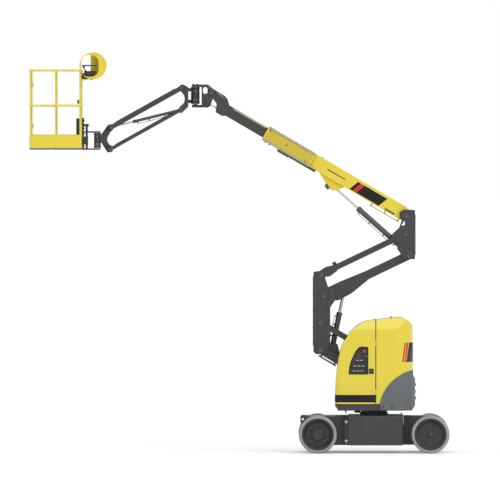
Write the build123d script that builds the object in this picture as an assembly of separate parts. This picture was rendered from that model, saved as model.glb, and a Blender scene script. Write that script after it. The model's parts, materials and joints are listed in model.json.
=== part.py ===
"""Narrow electric articulating boom lift, as an assembly of separate sub-parts.

Millimetres, +Z up. The origin is on the floor, on the slewing axis of the turntable.
The boom points to -X, the counterweight to +X. The steered wheels are at +X.
"""

import os
from math import cos, hypot, radians, sin

from build123d import *

# ---------------------------------------------------------------- driving dimensions
WHEELBASE = 1652
TYRE_RADIUS = 279.5
TYRE_WIDTH = 178
RIM_RADIUS = 226
TRACK = 1022
AXLE_X = WHEELBASE / 2
WHEEL_Y = TRACK / 2
KINGPIN_Y, KINGPIN_RADIUS = 368, 20
DRIVE_LUG, LUG_BORE = (-1042, 486), 24
STEER_LUG, STEER_LUG_BORE = (1022, 410), 14

CHASSIS_LOW, CHASSIS_TOP = 118, 542
CHASSIS_FRONT, CHASSIS_REAR = -1080, 1046
RING_RADIUS, RING_SPLIT, RING_TOP = 191, 600, 628

BASE_TOP = 719
HOOD_LOW = 726
GAP_HALF = 165
HOOD_HALF = 580
HOOD_WALL = 5
ROOF_LOW, ROOF_HALF = 1822, 492
SEAM_X = 21
DOOR_HINGE_LEVELS = (900, 1620)
LEAF_HEIGHT, LEAF_KNUCKLE = 40, 3.5

TOWER_INNER, TOWER_OUTER = 128, 148
UPRIGHT_INNER, UPRIGHT_OUTER = 130, 145
LINK_HALF = 110
TIE_INNER, TIE_OUTER = 86, 120
LINK_DEPTH, TIE_DEPTH = 125, 82

BOOM_DEPTH, BOOM_WIDTH, BOOM_WALL = 209, 170, 8
FLY_DEPTH, FLY_WIDTH, FLY_WALL = 159, 128, 6
BOOM_FRONT, FLY_REAR, FLY_FRONT = 2410, 1260, 3090

# Pivots, as (X, Z) in the side view.
LINK_FOOT, LINK_HEAD = (405, 800), (-778, 1511)
TIE_FOOT, TIE_HEAD = (398, 1200), (-785, 1911)
UPPER_FOOT, UPPER_HEAD = (-726, 2306), (517, 2901)
UPPER_TIE_FOOT, UPPER_TIE_HEAD = (-770, 2618), (473, 3213)
RISER_CYLINDER_FOOT, RISER_CYLINDER_EYE = (-619, 1500), (-447, 2329)
BOOM_PIVOT = (487, 3482)
BOOM_CYLINDER_FOOT, BOOM_CYLINDER_EYE = (391, 3030), (-587, 3901)
FORK_PIVOT = (-2387, 5291)
LEVEL_FOOT, LEVEL_EYE = (-1983, 4920), (-2453, 5129)
SWING_X = -2625
JIB_TOP_FOOT, JIB_TOP_HEAD = (-2828, 5357), (-3857, 4781)
JIB_LOW_FOOT, JIB_LOW_HEAD = (-2836, 5036), (-3865, 4460)
ROTATE_X = -4063
BOOM_ANGLE = 30.3

BIG_PIN, SMALL_PIN, JIB_PIN = 30, 25, 20
PIN_GAP = 0.4

PLATFORM_FRONT, PLATFORM_BACK = -5043, -4302
PLATFORM_HALF = 570
PLATFORM_MIDDLE = -4668
FLOOR_LOW, FLOOR_TOP = 4455, 4480
KICK_TOP, MID_RAIL, TOP_RAIL = 4667, 5099, 5618
RAIL_RADIUS, POST_RADIUS, GATE_RADIUS = 16, 15, 11
RAIL_BEND, KICK_GAP = 30, 9
INNER_POST_Y = 300
GATE_FRONT, GATE_REAR = -5023.5, -4326
GATE_HINGE = (-5022, 548)
ANCHOR_Z, ANCHOR_BORE = 4900, 12
HINGE_LEVELS = (4800, 5400)
HINGE_PIN = 5
GUARD_CENTRE, GUARD_RADIUS = (-4128, 5684), 198

SLICE = 4000


# ---------------------------------------------------------------- shaping helpers
def lengthwise(start, end):
    """Plane on a pin: X runs to the other pin, Y is the upper side, Z is across."""
    run, rise = end[0] - start[0], end[1] - start[1]
    across_sign = 1 if run < 0 else -1
    return Plane(origin=(start[0], 0, start[1]), x_dir=(run, 0, rise), z_dir=(0, across_sign, 0))


def distance(start, end):
    return hypot(end[0] - start[0], end[1] - start[1])


def face_of(points, radius=0):
    """Face inside a closed outline, its corners rounded."""
    face = make_face(Polyline(*points, close=True))
    return fillet(face.vertices(), radius) if radius else face


def side_slab(face, low, high):
    """A side-view face, X and Z, made solid between two distances from the centre plane."""
    return extrude(Plane.XZ.offset(-high) * face, amount=high - low)


def both_sides(solid):
    """The solid and its mirror image on the other side of the machine."""
    return solid + mirror(solid, Plane.XZ)


def pair_of_plates(face, inner, outer, plane=None):
    """Two equal plates, one each side, from a side-view face or one on a link's plane."""
    if plane is None:
        return both_sides(side_slab(face, inner, outer))
    plate = extrude(Plane.XY.offset(inner) * face, amount=outer - inner)
    return plane * (plate + mirror(plate, Plane.XY))


def round_bar(at, radius, low, high):
    """Round bar along Y at (X, Z)."""
    place = Location((at[0], (low + high) / 2, at[1]), (90, 0, 0))
    return place * Cylinder(radius, high - low)


def pin(at, radius, half, head=8, head_radius=None):
    """Pivot pin with a flat round head at each end."""
    wide = head_radius or radius + 12
    bar = round_bar(at, radius, -half - head, half + head)
    bar += round_bar(at, wide, half, half + head)
    return bar + round_bar(at, wide, -half - head, -half)


def bushing(at, outer, bore, half):
    """Bushing tube along Y, with running clearance round its pin."""
    return round_bar(at, outer, -half, half), round_bar(at, bore + PIN_GAP, -half - 1, half + 1)


def block(x_low, x_high, y_low, y_high, z_low, z_high):
    size = (x_high - x_low, y_high - y_low, z_high - z_low)
    middle = ((x_low + x_high) / 2, (y_low + y_high) / 2, (z_low + z_high) / 2)
    return Pos(*middle) * Box(*size)


def upright_bar(x, y, radius, low, high):
    return Pos(x, y, (low + high) / 2) * Cylinder(radius, high - low)


def bar_between(start, end, radius):
    """Round bar from one point to another."""
    run = Vector(*end) - Vector(*start)
    plane = Plane(origin=start, z_dir=run)
    return plane * Cylinder(radius, run.length, align=(Align.CENTER, Align.CENTER, Align.MIN))


def hollow_beam(x_low, x_high, depth, width, wall):
    """Rectangular tube along X, open at both ends."""
    middle = (x_low + x_high) / 2
    outer = Pos(middle, 0, 0) * Box(x_high - x_low, depth, width)
    return outer - Pos(middle, 0, 0) * Box(x_high - x_low + 2, depth - 2 * wall, width - 2 * wall)


def save(name, shape):
    export_step(shape, f"parts/{name}.step")


def cylinder_pair(name, foot, eye, barrel_radius, rod_radius, barrel_end, rod_length, half):
    """Hydraulic barrel with its foot eye and gland, and the rod with its eye."""
    plane = lengthwise(foot, eye)
    reach = distance(foot, eye)
    foot_radius = barrel_radius + 2
    start = barrel_radius * 0.75
    upright = Rot(0, 90, 0)
    low = (Align.CENTER, Align.CENTER, Align.MIN)
    barrel = Pos(start, 0, 0) * upright * Cylinder(barrel_radius, barrel_end - start, align=low)
    gland = Cylinder(barrel_radius + 2.5, 34, align=low)
    barrel += Pos(barrel_end - 34, 0, 0) * upright * gland
    barrel += Cylinder(foot_radius, 2 * half)
    bore = barrel_radius - 6
    barrel -= Pos(start + 18, 0, 0) * upright * Cylinder(bore, barrel_end, align=low)
    gland_ring = Cylinder(bore, 30, align=low) - Cylinder(rod_radius + PIN_GAP, 30, align=low)
    barrel += Pos(barrel_end - 32, 0, 0) * upright * gland_ring
    rod_start = reach - rod_length
    rod = Pos(rod_start, 0, 0) * upright * Cylinder(rod_radius, rod_length, align=low)
    rod += Pos(rod_start, 0, 0) * upright * Cylinder(bore - 1, 24, align=low)
    rod += Pos(reach, 0, 0) * Cylinder(rod_radius + 12, 2 * half - 4)
    save(f"{name}_rod", plane * rod)
    return plane * barrel


# ---------------------------------------------------------------- chassis
def chassis_frame():
    """Welded frame: wide between the wheels, narrow beside them, slew ring on top."""
    drive = [(-1000, 150), (-1000, CHASSIS_TOP), (-380, CHASSIS_TOP), (-380, CHASSIS_LOW),
             (-940, CHASSIS_LOW)]
    frame = both_sides(side_slab(face_of(drive), -1, 395))
    middle = [(-380, CHASSIS_LOW), (-380, CHASSIS_TOP), (415, CHASSIS_TOP), (415, CHASSIS_LOW)]
    frame += both_sides(side_slab(face_of(middle), -1, 560))
    steer = [(415, CHASSIS_LOW), (415, CHASSIS_TOP), (930, CHASSIS_TOP), (1000, 480), (1000, 170),
             (950, CHASSIS_LOW)]
    frame += both_sides(side_slab(face_of(steer), -1, 235))
    # The ends are open below; the middle is a closed, ballasted box.
    frame -= block(-960, -400, -330, 330, CHASSIS_LOW - 1, 500)
    frame -= block(435, 740, -180, 180, CHASSIS_LOW - 1, 500)
    # Tie-down lugs at both ends.
    drive_lug = face_of([(-999, 410), (-999, 542), (-1060, 542), (CHASSIS_FRONT, 520), (CHASSIS_FRONT, 440)])
    frame += pair_of_plates(drive_lug, 290, 312)
    frame -= round_bar(DRIVE_LUG, LUG_BORE, -400, 400)
    steer_lug = face_of([
        (999, 330), (999, 470), (1030, 470), (CHASSIS_REAR, 450), (CHASSIS_REAR, 350), (1030, 330),
    ])
    frame += pair_of_plates(steer_lug, 200, 222)
    frame -= round_bar(STEER_LUG, STEER_LUG_BORE, -400, 400)
    # Side brackets beside the wheels.
    frame += both_sides(block(-440, -380, 395, 520, 420, 500))
    frame += both_sides(block(415, 445, 235, 500, 420, 500))
    ring = Pos(0, 0, (CHASSIS_TOP + RING_SPLIT) / 2) * Cylinder(RING_RADIUS, RING_SPLIT - CHASSIS_TOP)
    return frame + ring


def steer_axle():
    """Axle stub on each side, forked round the kingpin."""
    stub = block(AXLE_X - 55, AXLE_X + 55, 235, 330, 190, 370)
    for low, high in ((190, 222), (338, 370)):
        stub += block(AXLE_X - 36, AXLE_X + 36, 330, KINGPIN_Y, low, high)
        stub += upright_bar(AXLE_X, KINGPIN_Y, 36, low, high)
    stub += upright_bar(AXLE_X, KINGPIN_Y, KINGPIN_RADIUS, 190, 370)
    return both_sides(stub)


def steer_knuckle(side):
    """Knuckle on its kingpin, with the wheel spindle."""
    knuckle = upright_bar(AXLE_X, side * KINGPIN_Y, 36, 224, 336)
    knuckle -= upright_bar(AXLE_X, side * KINGPIN_Y, KINGPIN_RADIUS + PIN_GAP, 220, 340)
    start = side * (KINGPIN_Y + 24)
    end = side * (WHEEL_Y + 6)
    knuckle += round_bar((AXLE_X, TYRE_RADIUS), 48, *sorted((start, start + side * 26)))
    knuckle += round_bar((AXLE_X, TYRE_RADIUS), 34, *sorted((start, end)))
    return knuckle


def drive_hubs():
    """Wheel motors on the sides of the drive end."""
    hub = round_bar((-AXLE_X, TYRE_RADIUS), 105, 395, 440)
    hub += round_bar((-AXLE_X, TYRE_RADIUS), 34, 440, WHEEL_Y + 6)
    return both_sides(hub)


def wheel_profile(points):
    """Ring about the wheel's axis, from (distance along the axis, radius) points."""
    face = Plane.XZ * make_face(Polyline(*[(r, a) for a, r in points], close=True))
    return revolve(face, Axis.Z)


def tyre(x, side):
    """Solid press-on tyre with sloped shoulders."""
    half = TYRE_WIDTH / 2
    section = [(-half, RIM_RADIUS), (-half, 262), (-half + 14, TYRE_RADIUS - 4), (-half + 22, TYRE_RADIUS)]
    section += [(-a, r) for a, r in reversed(section)]
    ring = wheel_profile(section)
    return Location((x, side * WHEEL_Y, TYRE_RADIUS), (90, 0, 0)) * ring


def rim(x, side, driven):
    """Steel rim: band, dished disc with lug bolts, and a planetary or plain hub."""
    half = TYRE_WIDTH / 2 - 3
    inside, spindle, stud_length = RIM_RADIUS - 12, 36, 28
    band = wheel_profile([(-half, inside), (-half, RIM_RADIUS), (half, RIM_RADIUS), (half, inside)])
    disc_low, disc_high = 12, 28
    edge = inside + 6
    disc = wheel_profile([(disc_low, spindle), (disc_low, edge), (disc_high, edge), (disc_high, spindle)])
    hub_radius, hub_out = (82, 78) if driven else (48, 66)
    cap_low = disc_high + 26
    hub = wheel_profile([(disc_low, spindle), (cap_low, spindle), (cap_low, 0), (hub_out, 0),
                         (hub_out, hub_radius - 10), (hub_out - 10, hub_radius), (disc_low, hub_radius)])
    wheel = band + disc + hub
    count, circle = (8, 132) if driven else (6, 125)
    studs = PolarLocations(circle, count)
    wheel += [Pos(0, 0, disc_high) * place * Cylinder(13, stud_length) for place in studs]
    return Location((x, side * WHEEL_Y, TYRE_RADIUS), (-90 * side, 0, 0)) * wheel


# ---------------------------------------------------------------- turntable
def tangent_arcs(points, direction):
    """Arcs through the points, each tangent to the one before."""
    arcs = []
    for start, end in zip(points, points[1:]):
        arcs.append(TangentArc(start, end, tangent=direction))
        direction = arcs[-1] % 1
    return arcs


def hood_outline():
    """Side view of the hood, from its front foot over the top to its rear foot."""
    nose = tangent_arcs([(-572, HOOD_LOW), (-528, 1358), (-432, 1652), (-234, 1873), (-28, 1946)], (0, 1))
    top = Polyline((-28, 1946), (310, 1986), (398, 1990))
    back = ThreePointArc((398, 1990), (490, 1945), (574, 1866))
    down = Line((574, 1866), (574, HOOD_LOW))
    foot = Line((574, HOOD_LOW), (-572, HOOD_LOW))
    return make_face([*nose, top, back, down, foot])


def plan_outline(front, rear, half, front_radius, rear_radius):
    """Plan view: small corners at the front, large ones for the tail."""
    face = face_of([(front, -half), (rear, -half), (rear, half), (front, half)])
    corners = face.vertices().sort_by(Axis.X)
    face = fillet(corners[2:], rear_radius)
    corners = face.vertices().sort_by(Axis.X)
    return fillet(corners[:2], front_radius)


def hood_body(inset):
    """Hood as a solid, pulled in by a wall: side view, plan, and a front view with a sloped roof edge."""
    side = hood_outline()
    plan = plan_outline(-600, 570, HOOD_HALF, 120, 300)
    roof = face_of([(-HOOD_HALF, 600), (-HOOD_HALF, ROOF_LOW), (-ROOF_HALF, 2010), (ROOF_HALF, 2010),
                    (HOOD_HALF, ROOF_LOW), (HOOD_HALF, 600)])
    if inset:
        side, plan, roof = (offset(view, amount=-inset) for view in (side, plan, roof))
    body = side_slab(side, -HOOD_HALF, HOOD_HALF) & extrude(plan, amount=SLICE)
    return body & extrude(Plane.YZ.offset(-SLICE / 2) * roof, amount=SLICE), plan


def hood_shell():
    """Both hood halves as one thin shell with the slot for the arms cut out."""
    outer, _ = hood_body(0)
    inner, inner_plan = hood_body(HOOD_WALL)
    lower = extrude(inner_plan, amount=900) & block(-572 + HOOD_WALL, 600, -600, 600, 700, 760)
    shell = outer - inner - lower
    return shell - block(-700, 700, -GAP_HALF, GAP_HALF, 700, 2100)


def hinge_leaf(edge, low, high):
    """Leaf on the skin beside the seam, with its knuckle on the hinge line of the +Y cover."""
    line = HOOD_HALF + 3
    leaf = block(min(edge, SEAM_X), max(edge, SEAM_X), HOOD_HALF - 1, line, low, high)
    return leaf + upright_bar(SEAM_X, line, LEAF_KNUCKLE, low, high)


def window_outline():
    """Opening over the ground controls."""
    return make_face([
        *tangent_arcs([(-376, 1160), (-329, 1388), (-248, 1535), (-146, 1567)], (0, 1)),
        Line((-146, 1567), (-101, 1564)),
        Line((-101, 1564), (-87, 1550)),
        Line((-87, 1550), (-87, 1160)),
        Line((-87, 1160), (-376, 1160)),
    ])


def counterweight_outline():
    """Side view of the cast tail weight, with the curved edge that meets the hood."""
    return make_face([
        ThreePointArc((82, 722), (266, 1057), (572, 1216)),
        Line((572, 1216), (576, 1123)),
        Line((576, 1123), (604, 1094)),
        Line((604, 1094), (604, 722)),
        Line((604, 722), (82, 722)),
    ])


def hood_cut_outline():
    """Side view of what the hood gives up to the tail weight, with a narrow joint between them."""
    return make_face([
        ThreePointArc((79, 722), (263, 1060), (572, 1219)),
        Polyline((572, 1219), (640, 1219), (640, 600), (79, 600), (79, 722)),
    ])


def counterweight():
    """Cast tail weight in the plan shape of the hood, open in the middle for the arms."""
    plan = plan_outline(60, 604, 588, 20, 320)
    weight = side_slab(counterweight_outline(), -588, 588) & extrude(plan, amount=1300)
    return weight - block(0, 560, -GAP_HALF - 5, GAP_HALF + 5, 700, 1300)


def turntable_frame():
    """Slewing plate with a rim, the two tower plates and their pivot pins."""
    plan = plan_outline(-572, 604, 560, 90, 300)
    base = Pos(0, 0, RING_TOP) * extrude(plan, amount=BASE_TOP - RING_TOP)
    hollow = offset(plan, amount=-14)
    base -= Pos(0, 0, RING_TOP + 14) * extrude(hollow, amount=BASE_TOP)
    base -= block(-600, -470, -155, 155, RING_TOP - 1, BASE_TOP + 1)
    ring_height = RING_TOP + 0.5 - RING_SPLIT
    base += Pos(0, 0, (RING_SPLIT + 0.5 + RING_TOP + 1) / 2) * Cylinder(RING_RADIUS, ring_height)
    for slope in ([(545, 620), (612, 620), (612, 716)], [(-520, 620), (-580, 620), (-580, 706)]):
        base -= side_slab(face_of(slope), -600, 600)
    tower = face_of([(170, 640), (556, 640), (556, 930), (455, 1245), (398, 1268), (335, 1245), (260, 930)])
    base += pair_of_plates(tower, TOWER_INNER, TOWER_OUTER)
    base += block(540, 556, -TOWER_INNER - 1, TOWER_INNER + 1, 640, 930)
    base += pin(LINK_FOOT, BIG_PIN, TOWER_OUTER)
    base += pin(TIE_FOOT, SMALL_PIN, TOWER_OUTER)
    # Slewing drive hanging under the plate.
    base += Pos(-242, 0, (582 + RING_TOP + 2) / 2) * Cylinder(45, RING_TOP + 2 - 582)
    return base


def battery_packs():
    return both_sides(block(-470, 0, 190, 520, RING_TOP + 14, 930))


def control_panel():
    """Ground control box behind the window of one hood, on its stand."""
    panel = block(-390, -70, -548, -530, 1140, 1600)
    panel += block(-380, -80, -530, -450, 1150, 1400)
    panel += block(-250, -210, -530, -500, 931, 1150)
    panel += round_bar((-160, 1440), 26, -562, -548)
    for x, z in ((-250, 1250), (-190, 1250), (-130, 1250), (-250, 1340), (-190, 1340), (-130, 1340)):
        panel += round_bar((x, z), 9, -562, -548)
    return panel


# ---------------------------------------------------------------- riser
def boxed_link(foot, head, plates, top_span, bottom_span):
    """Two side plates with top and bottom plates between them, on the link's own plane."""
    plane = lengthwise(foot, head)
    link = pair_of_plates(plates, LINK_HALF - 14, LINK_HALF, plane)
    half = LINK_DEPTH / 2
    for low, high, level in ((*top_span, half - 5), (*bottom_span, 5 - half)):
        link += plane * Pos((low + high) / 2, level, 0) * Box(high - low, 10, 2 * LINK_HALF - 20)
    return plane, link


def lower_link():
    """Main lower arm, with the cheeks that carry the riser cylinder and a guard bar below."""
    length = distance(LINK_FOOT, LINK_HEAD)
    plates = Pos(length / 2, 0) * SlotCenterToCenter(length, LINK_DEPTH)
    plane, link = boxed_link(LINK_FOOT, LINK_HEAD, plates, (75, 1120), (75, 1310))
    link += plane * Pos(1115, 0, 0) * Box(10, 116, 2 * LINK_HALF - 20)
    cheeks = face_of([(1095, -58), (1095, 70), (1205, 192), (1235, 192), (1372, 101), (1372, 40),
                      (1310, -58)], 12)
    link += pair_of_plates(cheeks, 50, 66, plane)
    foot_local = plane.to_local_coords(Vector(RISER_CYLINDER_FOOT[0], 0, RISER_CYLINDER_FOOT[1]))
    link += plane * Pos(foot_local.X, foot_local.Y, 0) * Cylinder(SMALL_PIN, 144)
    link += plane * Pos(1216, -92, 0) * Box(292, 20, 2 * LINK_HALF)
    for x in (1100, 1330):
        link += plane * Pos(x, -72, 0) * Box(24, 24, 60)
    for at in (LINK_FOOT, LINK_HEAD):
        tube, bore = bushing(at, 45, BIG_PIN, LINK_HALF)
        link = link + tube - bore
    return link


def twin_bars(foot, head, foot_tube, head_tube):
    """Two slender bars side by side, bored for their pins, with a tube where there is room."""
    plane = lengthwise(foot, head)
    length = distance(foot, head)
    slot = Pos(length / 2, 0) * SlotCenterToCenter(length, TIE_DEPTH)
    bars = pair_of_plates(slot, TIE_INNER, TIE_OUTER, plane)
    for at, has_tube in ((foot, foot_tube), (head, head_tube)):
        tube, bore = bushing(at, 36, SMALL_PIN, TIE_OUTER)
        if has_tube:
            bars += tube
        bars -= bore
    return plane, bars


def lower_tie_link():
    plane, bars = twin_bars(TIE_FOOT, TIE_HEAD, True, True)
    return bars + plane * Pos(560, -20, 0) * Box(70, 10, 2 * TIE_INNER + 8)


def riser_upright():
    """Channel that stays upright between the lower and the upper arms."""
    sides = face_of([(-889, 1480), (-889, 2652), (-735, 2672), (-716, 2562), (-652, 2373), (-642, 2340),
                     (-642, 1600), (-700, 1446), (-850, 1446)], 12)
    upright = pair_of_plates(sides, UPRIGHT_INNER, UPRIGHT_OUTER)
    upright += block(-889, -875, -UPRIGHT_INNER - 1, UPRIGHT_INNER + 1, 1500, 2645)
    for level in (1720, 2110, 2480):
        upright += block(-876, -835, -UPRIGHT_INNER - 1, UPRIGHT_INNER + 1, level - 6, level + 6)
    for at, radius in ((LINK_HEAD, BIG_PIN), (TIE_HEAD, SMALL_PIN), (UPPER_FOOT, BIG_PIN)):
        upright += pin(at, radius, UPRIGHT_OUTER)
    # The upper tie bars turn on stub pins, so that the boom's lug can pass between them.
    stub = round_bar(UPPER_TIE_FOOT, SMALL_PIN, TIE_INNER - 2, UPRIGHT_OUTER + 8)
    stub += round_bar(UPPER_TIE_FOOT, SMALL_PIN + 12, UPRIGHT_OUTER, UPRIGHT_OUTER + 8)
    return upright + both_sides(stub)


def upper_link():
    """Main upper arm, deep at its foot where the riser cylinder pushes."""
    length = distance(UPPER_FOOT, UPPER_HEAD)
    half = LINK_DEPTH / 2
    slot = Pos(length / 2, 0) * SlotCenterToCenter(length, LINK_DEPTH)
    deep = face_of([(-40, 40), (60, 85), (300, 85), (700, half), (700, -half), (380, -140), (150, -150),
                    (-40, -50)])
    plane, link = boxed_link(UPPER_FOOT, UPPER_HEAD, slot + deep, (60, 1310), (400, 1310))
    cheeks = face_of([(175, -146), (350, -146), (350, 58), (175, 58)], 8)
    link += pair_of_plates(cheeks, 50, 64, plane)
    eye = RISER_CYLINDER_EYE
    link += both_sides(round_bar(eye, 38, LINK_HALF - 1, LINK_HALF + 8))
    for at in (UPPER_FOOT, UPPER_HEAD):
        tube, bore = bushing(at, 45, BIG_PIN, LINK_HALF)
        link = link + tube - bore
    return link


def upper_tie_link():
    plane, bars = twin_bars(UPPER_TIE_FOOT, UPPER_TIE_HEAD, False, True)
    bars += plane * Pos(10, -36, 0) * Box(110, 10, 2 * TIE_INNER + 8)
    stop_height = 44
    for side in (-1, 1):
        place = Pos(238, TIE_DEPTH / 2 + stop_height / 2 - 2, side * (TIE_OUTER - 17))
        stop = place * Box(60, stop_height, 20)
        bars += plane * stop
    return bars


def boom_upright():
    """Head of the riser: side plates, rear web and the bracket of the boom cylinder."""
    outline = [
        (604, 2843), (604, 3561), (440, 3570), (376, 3535), (376, 3440), (410, 3410),
        (372, 3300), (262, 3200), (262, 3150), (345, 3080), (345, 2990), (440, 2843),
    ]
    sides = face_of(outline, 10)
    upright = pair_of_plates(sides, UPRIGHT_INNER, UPRIGHT_OUTER)
    upright += block(591, 604, -UPRIGHT_INNER - 1, UPRIGHT_INNER + 1, 2850, 3555)
    bracket = face_of([(595, 2985), (595, 3150), (470, 3150), (400, 3075), (350, 3050), (350, 3000),
                       (385, 2984)], 10)
    upright += pair_of_plates(bracket, 50, 66)
    upright += round_bar(BOOM_CYLINDER_FOOT, SMALL_PIN, -74, 74)
    upright += pin(UPPER_HEAD, BIG_PIN, UPRIGHT_OUTER)
    upright += pin(UPPER_TIE_HEAD, SMALL_PIN, UPRIGHT_OUTER)
    upright += pin(BOOM_PIVOT, BIG_PIN, UPRIGHT_OUTER)
    upright -= pair_of_plates(face_of([(400, 3335), (455, 3335), (455, 3420)], 6), 120, 160)
    return upright


# ---------------------------------------------------------------- boom
BOOM_TIP = (BOOM_PIVOT[0] - 1000 * cos(radians(BOOM_ANGLE)), BOOM_PIVOT[1] + 1000 * sin(radians(BOOM_ANGLE)))
BOOM_PLANE = lengthwise(BOOM_PIVOT, BOOM_TIP)


def on_boom(point):
    """Distance along and above the boom's centre line of a side-view point."""
    local = BOOM_PLANE.to_local_coords(Vector(point[0], 0, point[1]))
    return local.X, local.Y


def main_boom():
    """Base section: square tube, pivot cheeks, cylinder lug and wear pads at its mouth."""
    half, wide = BOOM_DEPTH / 2, BOOM_WIDTH / 2
    boom = hollow_beam(60, BOOM_FRONT, BOOM_DEPTH, BOOM_WIDTH, BOOM_WALL)
    cheek = Circle(94) + Pos(80, 0) * Rectangle(160, 188)
    boom += pair_of_plates(cheek, wide - 14, wide, Plane.XY)
    boom += Cylinder(50, BOOM_WIDTH)
    boom -= Cylinder(BIG_PIN + PIN_GAP, BOOM_WIDTH + 2)
    lug = face_of([(1000, -half + 4), (1092, -212), (1140, -238), (1192, -238), (1440, -half + 4)], 5)
    boom += pair_of_plates(lug, 36, 50, Plane.XY)
    eye_x, eye_y = on_boom(BOOM_CYLINDER_EYE)
    for side in (-1, 1):
        boom += Pos(eye_x, eye_y, side * 54) * Cylinder(30, 9)
    # Room for the rod's eye under the tube, between the cheeks of the lug.
    boom -= Pos(eye_x, -half, 0) * Box(130, 3 * BOOM_WALL, 66)
    inner_top, inner_side = half - BOOM_WALL, wide - BOOM_WALL
    pad_deep = inner_top - FLY_DEPTH / 2 - 0.5
    pad_wide = inner_side - FLY_WIDTH / 2 - 0.5
    for side in (-1, 1):
        boom += Pos(BOOM_FRONT - 60, side * (inner_top - pad_deep / 2), 0) * Box(100, pad_deep, 90)
        boom += Pos(BOOM_FRONT - 60, 0, side * (inner_side - pad_wide / 2)) * Box(100, 110, pad_wide)
    # Hose rail below the rear of the tube.
    boom += Pos(305, -142, 70) * Box(500, 8, 16)
    for x in (80, 305, 530):
        boom += Pos(x, -122, 70) * Box(24, 44, 12)
    return BOOM_PLANE * boom


def hose_tray():
    """Channel for the hoses beside the front of the base section."""
    low, high = BOOM_FRONT - 800, BOOM_FRONT
    outer_y = BOOM_WIDTH / 2 + 44
    middle = -(BOOM_WIDTH / 2 + outer_y) / 2
    tray = Pos((low + high) / 2, 0, middle) * Box(high - low, 228, 44)
    tray -= Pos((low + high) / 2, 0, middle + 3) * Box(high - low + 2, 220, 40)
    return BOOM_PLANE * tray


def energy_chain():
    """Chain housing below the tray, with its running strip."""
    chain = Pos(BOOM_FRONT - 95, -132, -100) * Box(190, 36, 50)
    chain += Pos(BOOM_FRONT - 480, -120, -100) * Box(640, 12, 40)
    return BOOM_PLANE * chain


def fly_boom():
    """Telescoping section with the two head plates that carry the fork."""
    fly = hollow_beam(FLY_REAR, FLY_FRONT, FLY_DEPTH, FLY_WIDTH, FLY_WALL)
    head = face_of([(3000, -70), (3000, 60), (3065, 76), (3142, 147), (3196, 166), (3410, 169), (3450, 150),
                    (3450, 95), (3363, 60), (3245, 6), (3195, -108), (3085, -108), (3040, -78)], 8)
    fly += pair_of_plates(head, 50, FLY_WIDTH / 2, Plane.XY)
    fork_x, fork_y = on_boom(FORK_PIVOT)
    foot_x, foot_y = on_boom(LEVEL_FOOT)
    fly += Pos(fork_x, fork_y, 0) * Cylinder(36, FLY_WIDTH)
    fly -= Pos(fork_x, fork_y, 0) * Cylinder(SMALL_PIN + PIN_GAP, FLY_WIDTH + 2)
    fly += Pos(foot_x, foot_y, 0) * Cylinder(16, FLY_WIDTH)
    return BOOM_PLANE * fly


def gooseneck_fork():
    """Level head: side plates on the boom tip and two plates that hold the swing actuator."""
    sides = face_of([(-2560, 5408), (-2440, 5408), (-2350, 5335), (-2345, 5255), (-2405, 5090), (-2440, 5070),
                     (-2560, 5070)], 14)
    sides -= Pos(-2478, 5320) * SlotCenterToCenter(36, 66, rotation=90)
    fork = pair_of_plates(sides, 72, 86)
    # The lower plate is short, so that the boom's head can swing past it.
    for low, high, end in ((5372, 5408, -2440), (5070, 5107, -2525)):
        plate = block(SWING_X, end, -86, 86, low, high) + upright_bar(SWING_X, 0, 50, low, high)
        fork += plate - block(SWING_X - 60, -2560, 50, 100, low - 1, high + 1) - block(
            SWING_X - 60, -2560, -100, -50, low - 1, high + 1)
    fork += pin(FORK_PIVOT, SMALL_PIN, 86)
    fork += both_sides(round_bar(LEVEL_EYE, 30, 85, 94))
    fork += upright_bar(SWING_X, 0, 34, 5106, 5119)
    return fork


# ---------------------------------------------------------------- jib
def jib_swing_base():
    """Rotary actuator with the bracket that carries both arms of the jib."""
    base = upright_bar(SWING_X, 0, 62, 5122, 5370)
    for low, high in ((5135, 5185), (5305, 5355)):
        base += block(-2740, SWING_X, -40, 40, low, high)
    base += block(-2742, -2728, -80, 80, 5000, 5392)
    ears = face_of([(-2728, 5400), (-2800, 5412), (-2850, 5398), (-2868, 5357), (-2840, 5310), (-2790, 5250),
                    (-2780, 5196), (-2790, 5140), (-2850, 5085), (-2878, 5036), (-2850, 4992), (-2790, 4985),
                    (-2728, 5000)], 10)
    base += pair_of_plates(ears, 80, 92)
    for at in (JIB_TOP_FOOT, JIB_LOW_FOOT):
        base += pin(at, JIB_PIN, 92, 7, 30)
    return base


def jib_arm(foot, head, depth, tie_level, foot_tube, head_tube):
    """Twin tubes of the jib, joined at the foot and by a flat tie."""
    plane = lengthwise(foot, head)
    length = distance(foot, head)
    slot = Pos(length / 2, 0) * SlotCenterToCenter(length, depth)
    arm = pair_of_plates(slot, 36, 74, plane)
    for at, has_tube in ((foot, foot_tube), (head, head_tube)):
        tube, bore = bushing(at, JIB_PIN + 8, JIB_PIN, 74)
        if has_tube:
            arm += tube
        arm -= bore
    return arm + plane * Pos(420, tie_level, 0) * Box(70, 8, 80)


def jib_head():
    """Bracket at the end of the jib, which stays level."""
    ears = face_of([(-4010, 4560), (-3915, 4410), (-3850, 4415), (-3825, 4460), (-3845, 4500),
                    (-3905, 4590), (-3880, 4700), (-3822, 4760), (-3822, 4800), (-3860, 4826), (-3910, 4815),
                    (-4010, 4670)], 10)
    head = pair_of_plates(ears, 80, 92)
    head += block(-4010, -3996, -81, 81, 4565, 4665)
    stub = round_bar(JIB_TOP_HEAD, JIB_PIN, 38, 99) + round_bar(JIB_TOP_HEAD, 30, 92, 99)
    head += both_sides(stub)
    head += pin(JIB_LOW_HEAD, JIB_PIN, 92, 7, 30)
    return head


def platform_rotator():
    body = upright_bar(ROTATE_X, 0, 50, 4475, 4695)
    return body + block(ROTATE_X, -4010, -36, 36, 4572, 4655)


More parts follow.
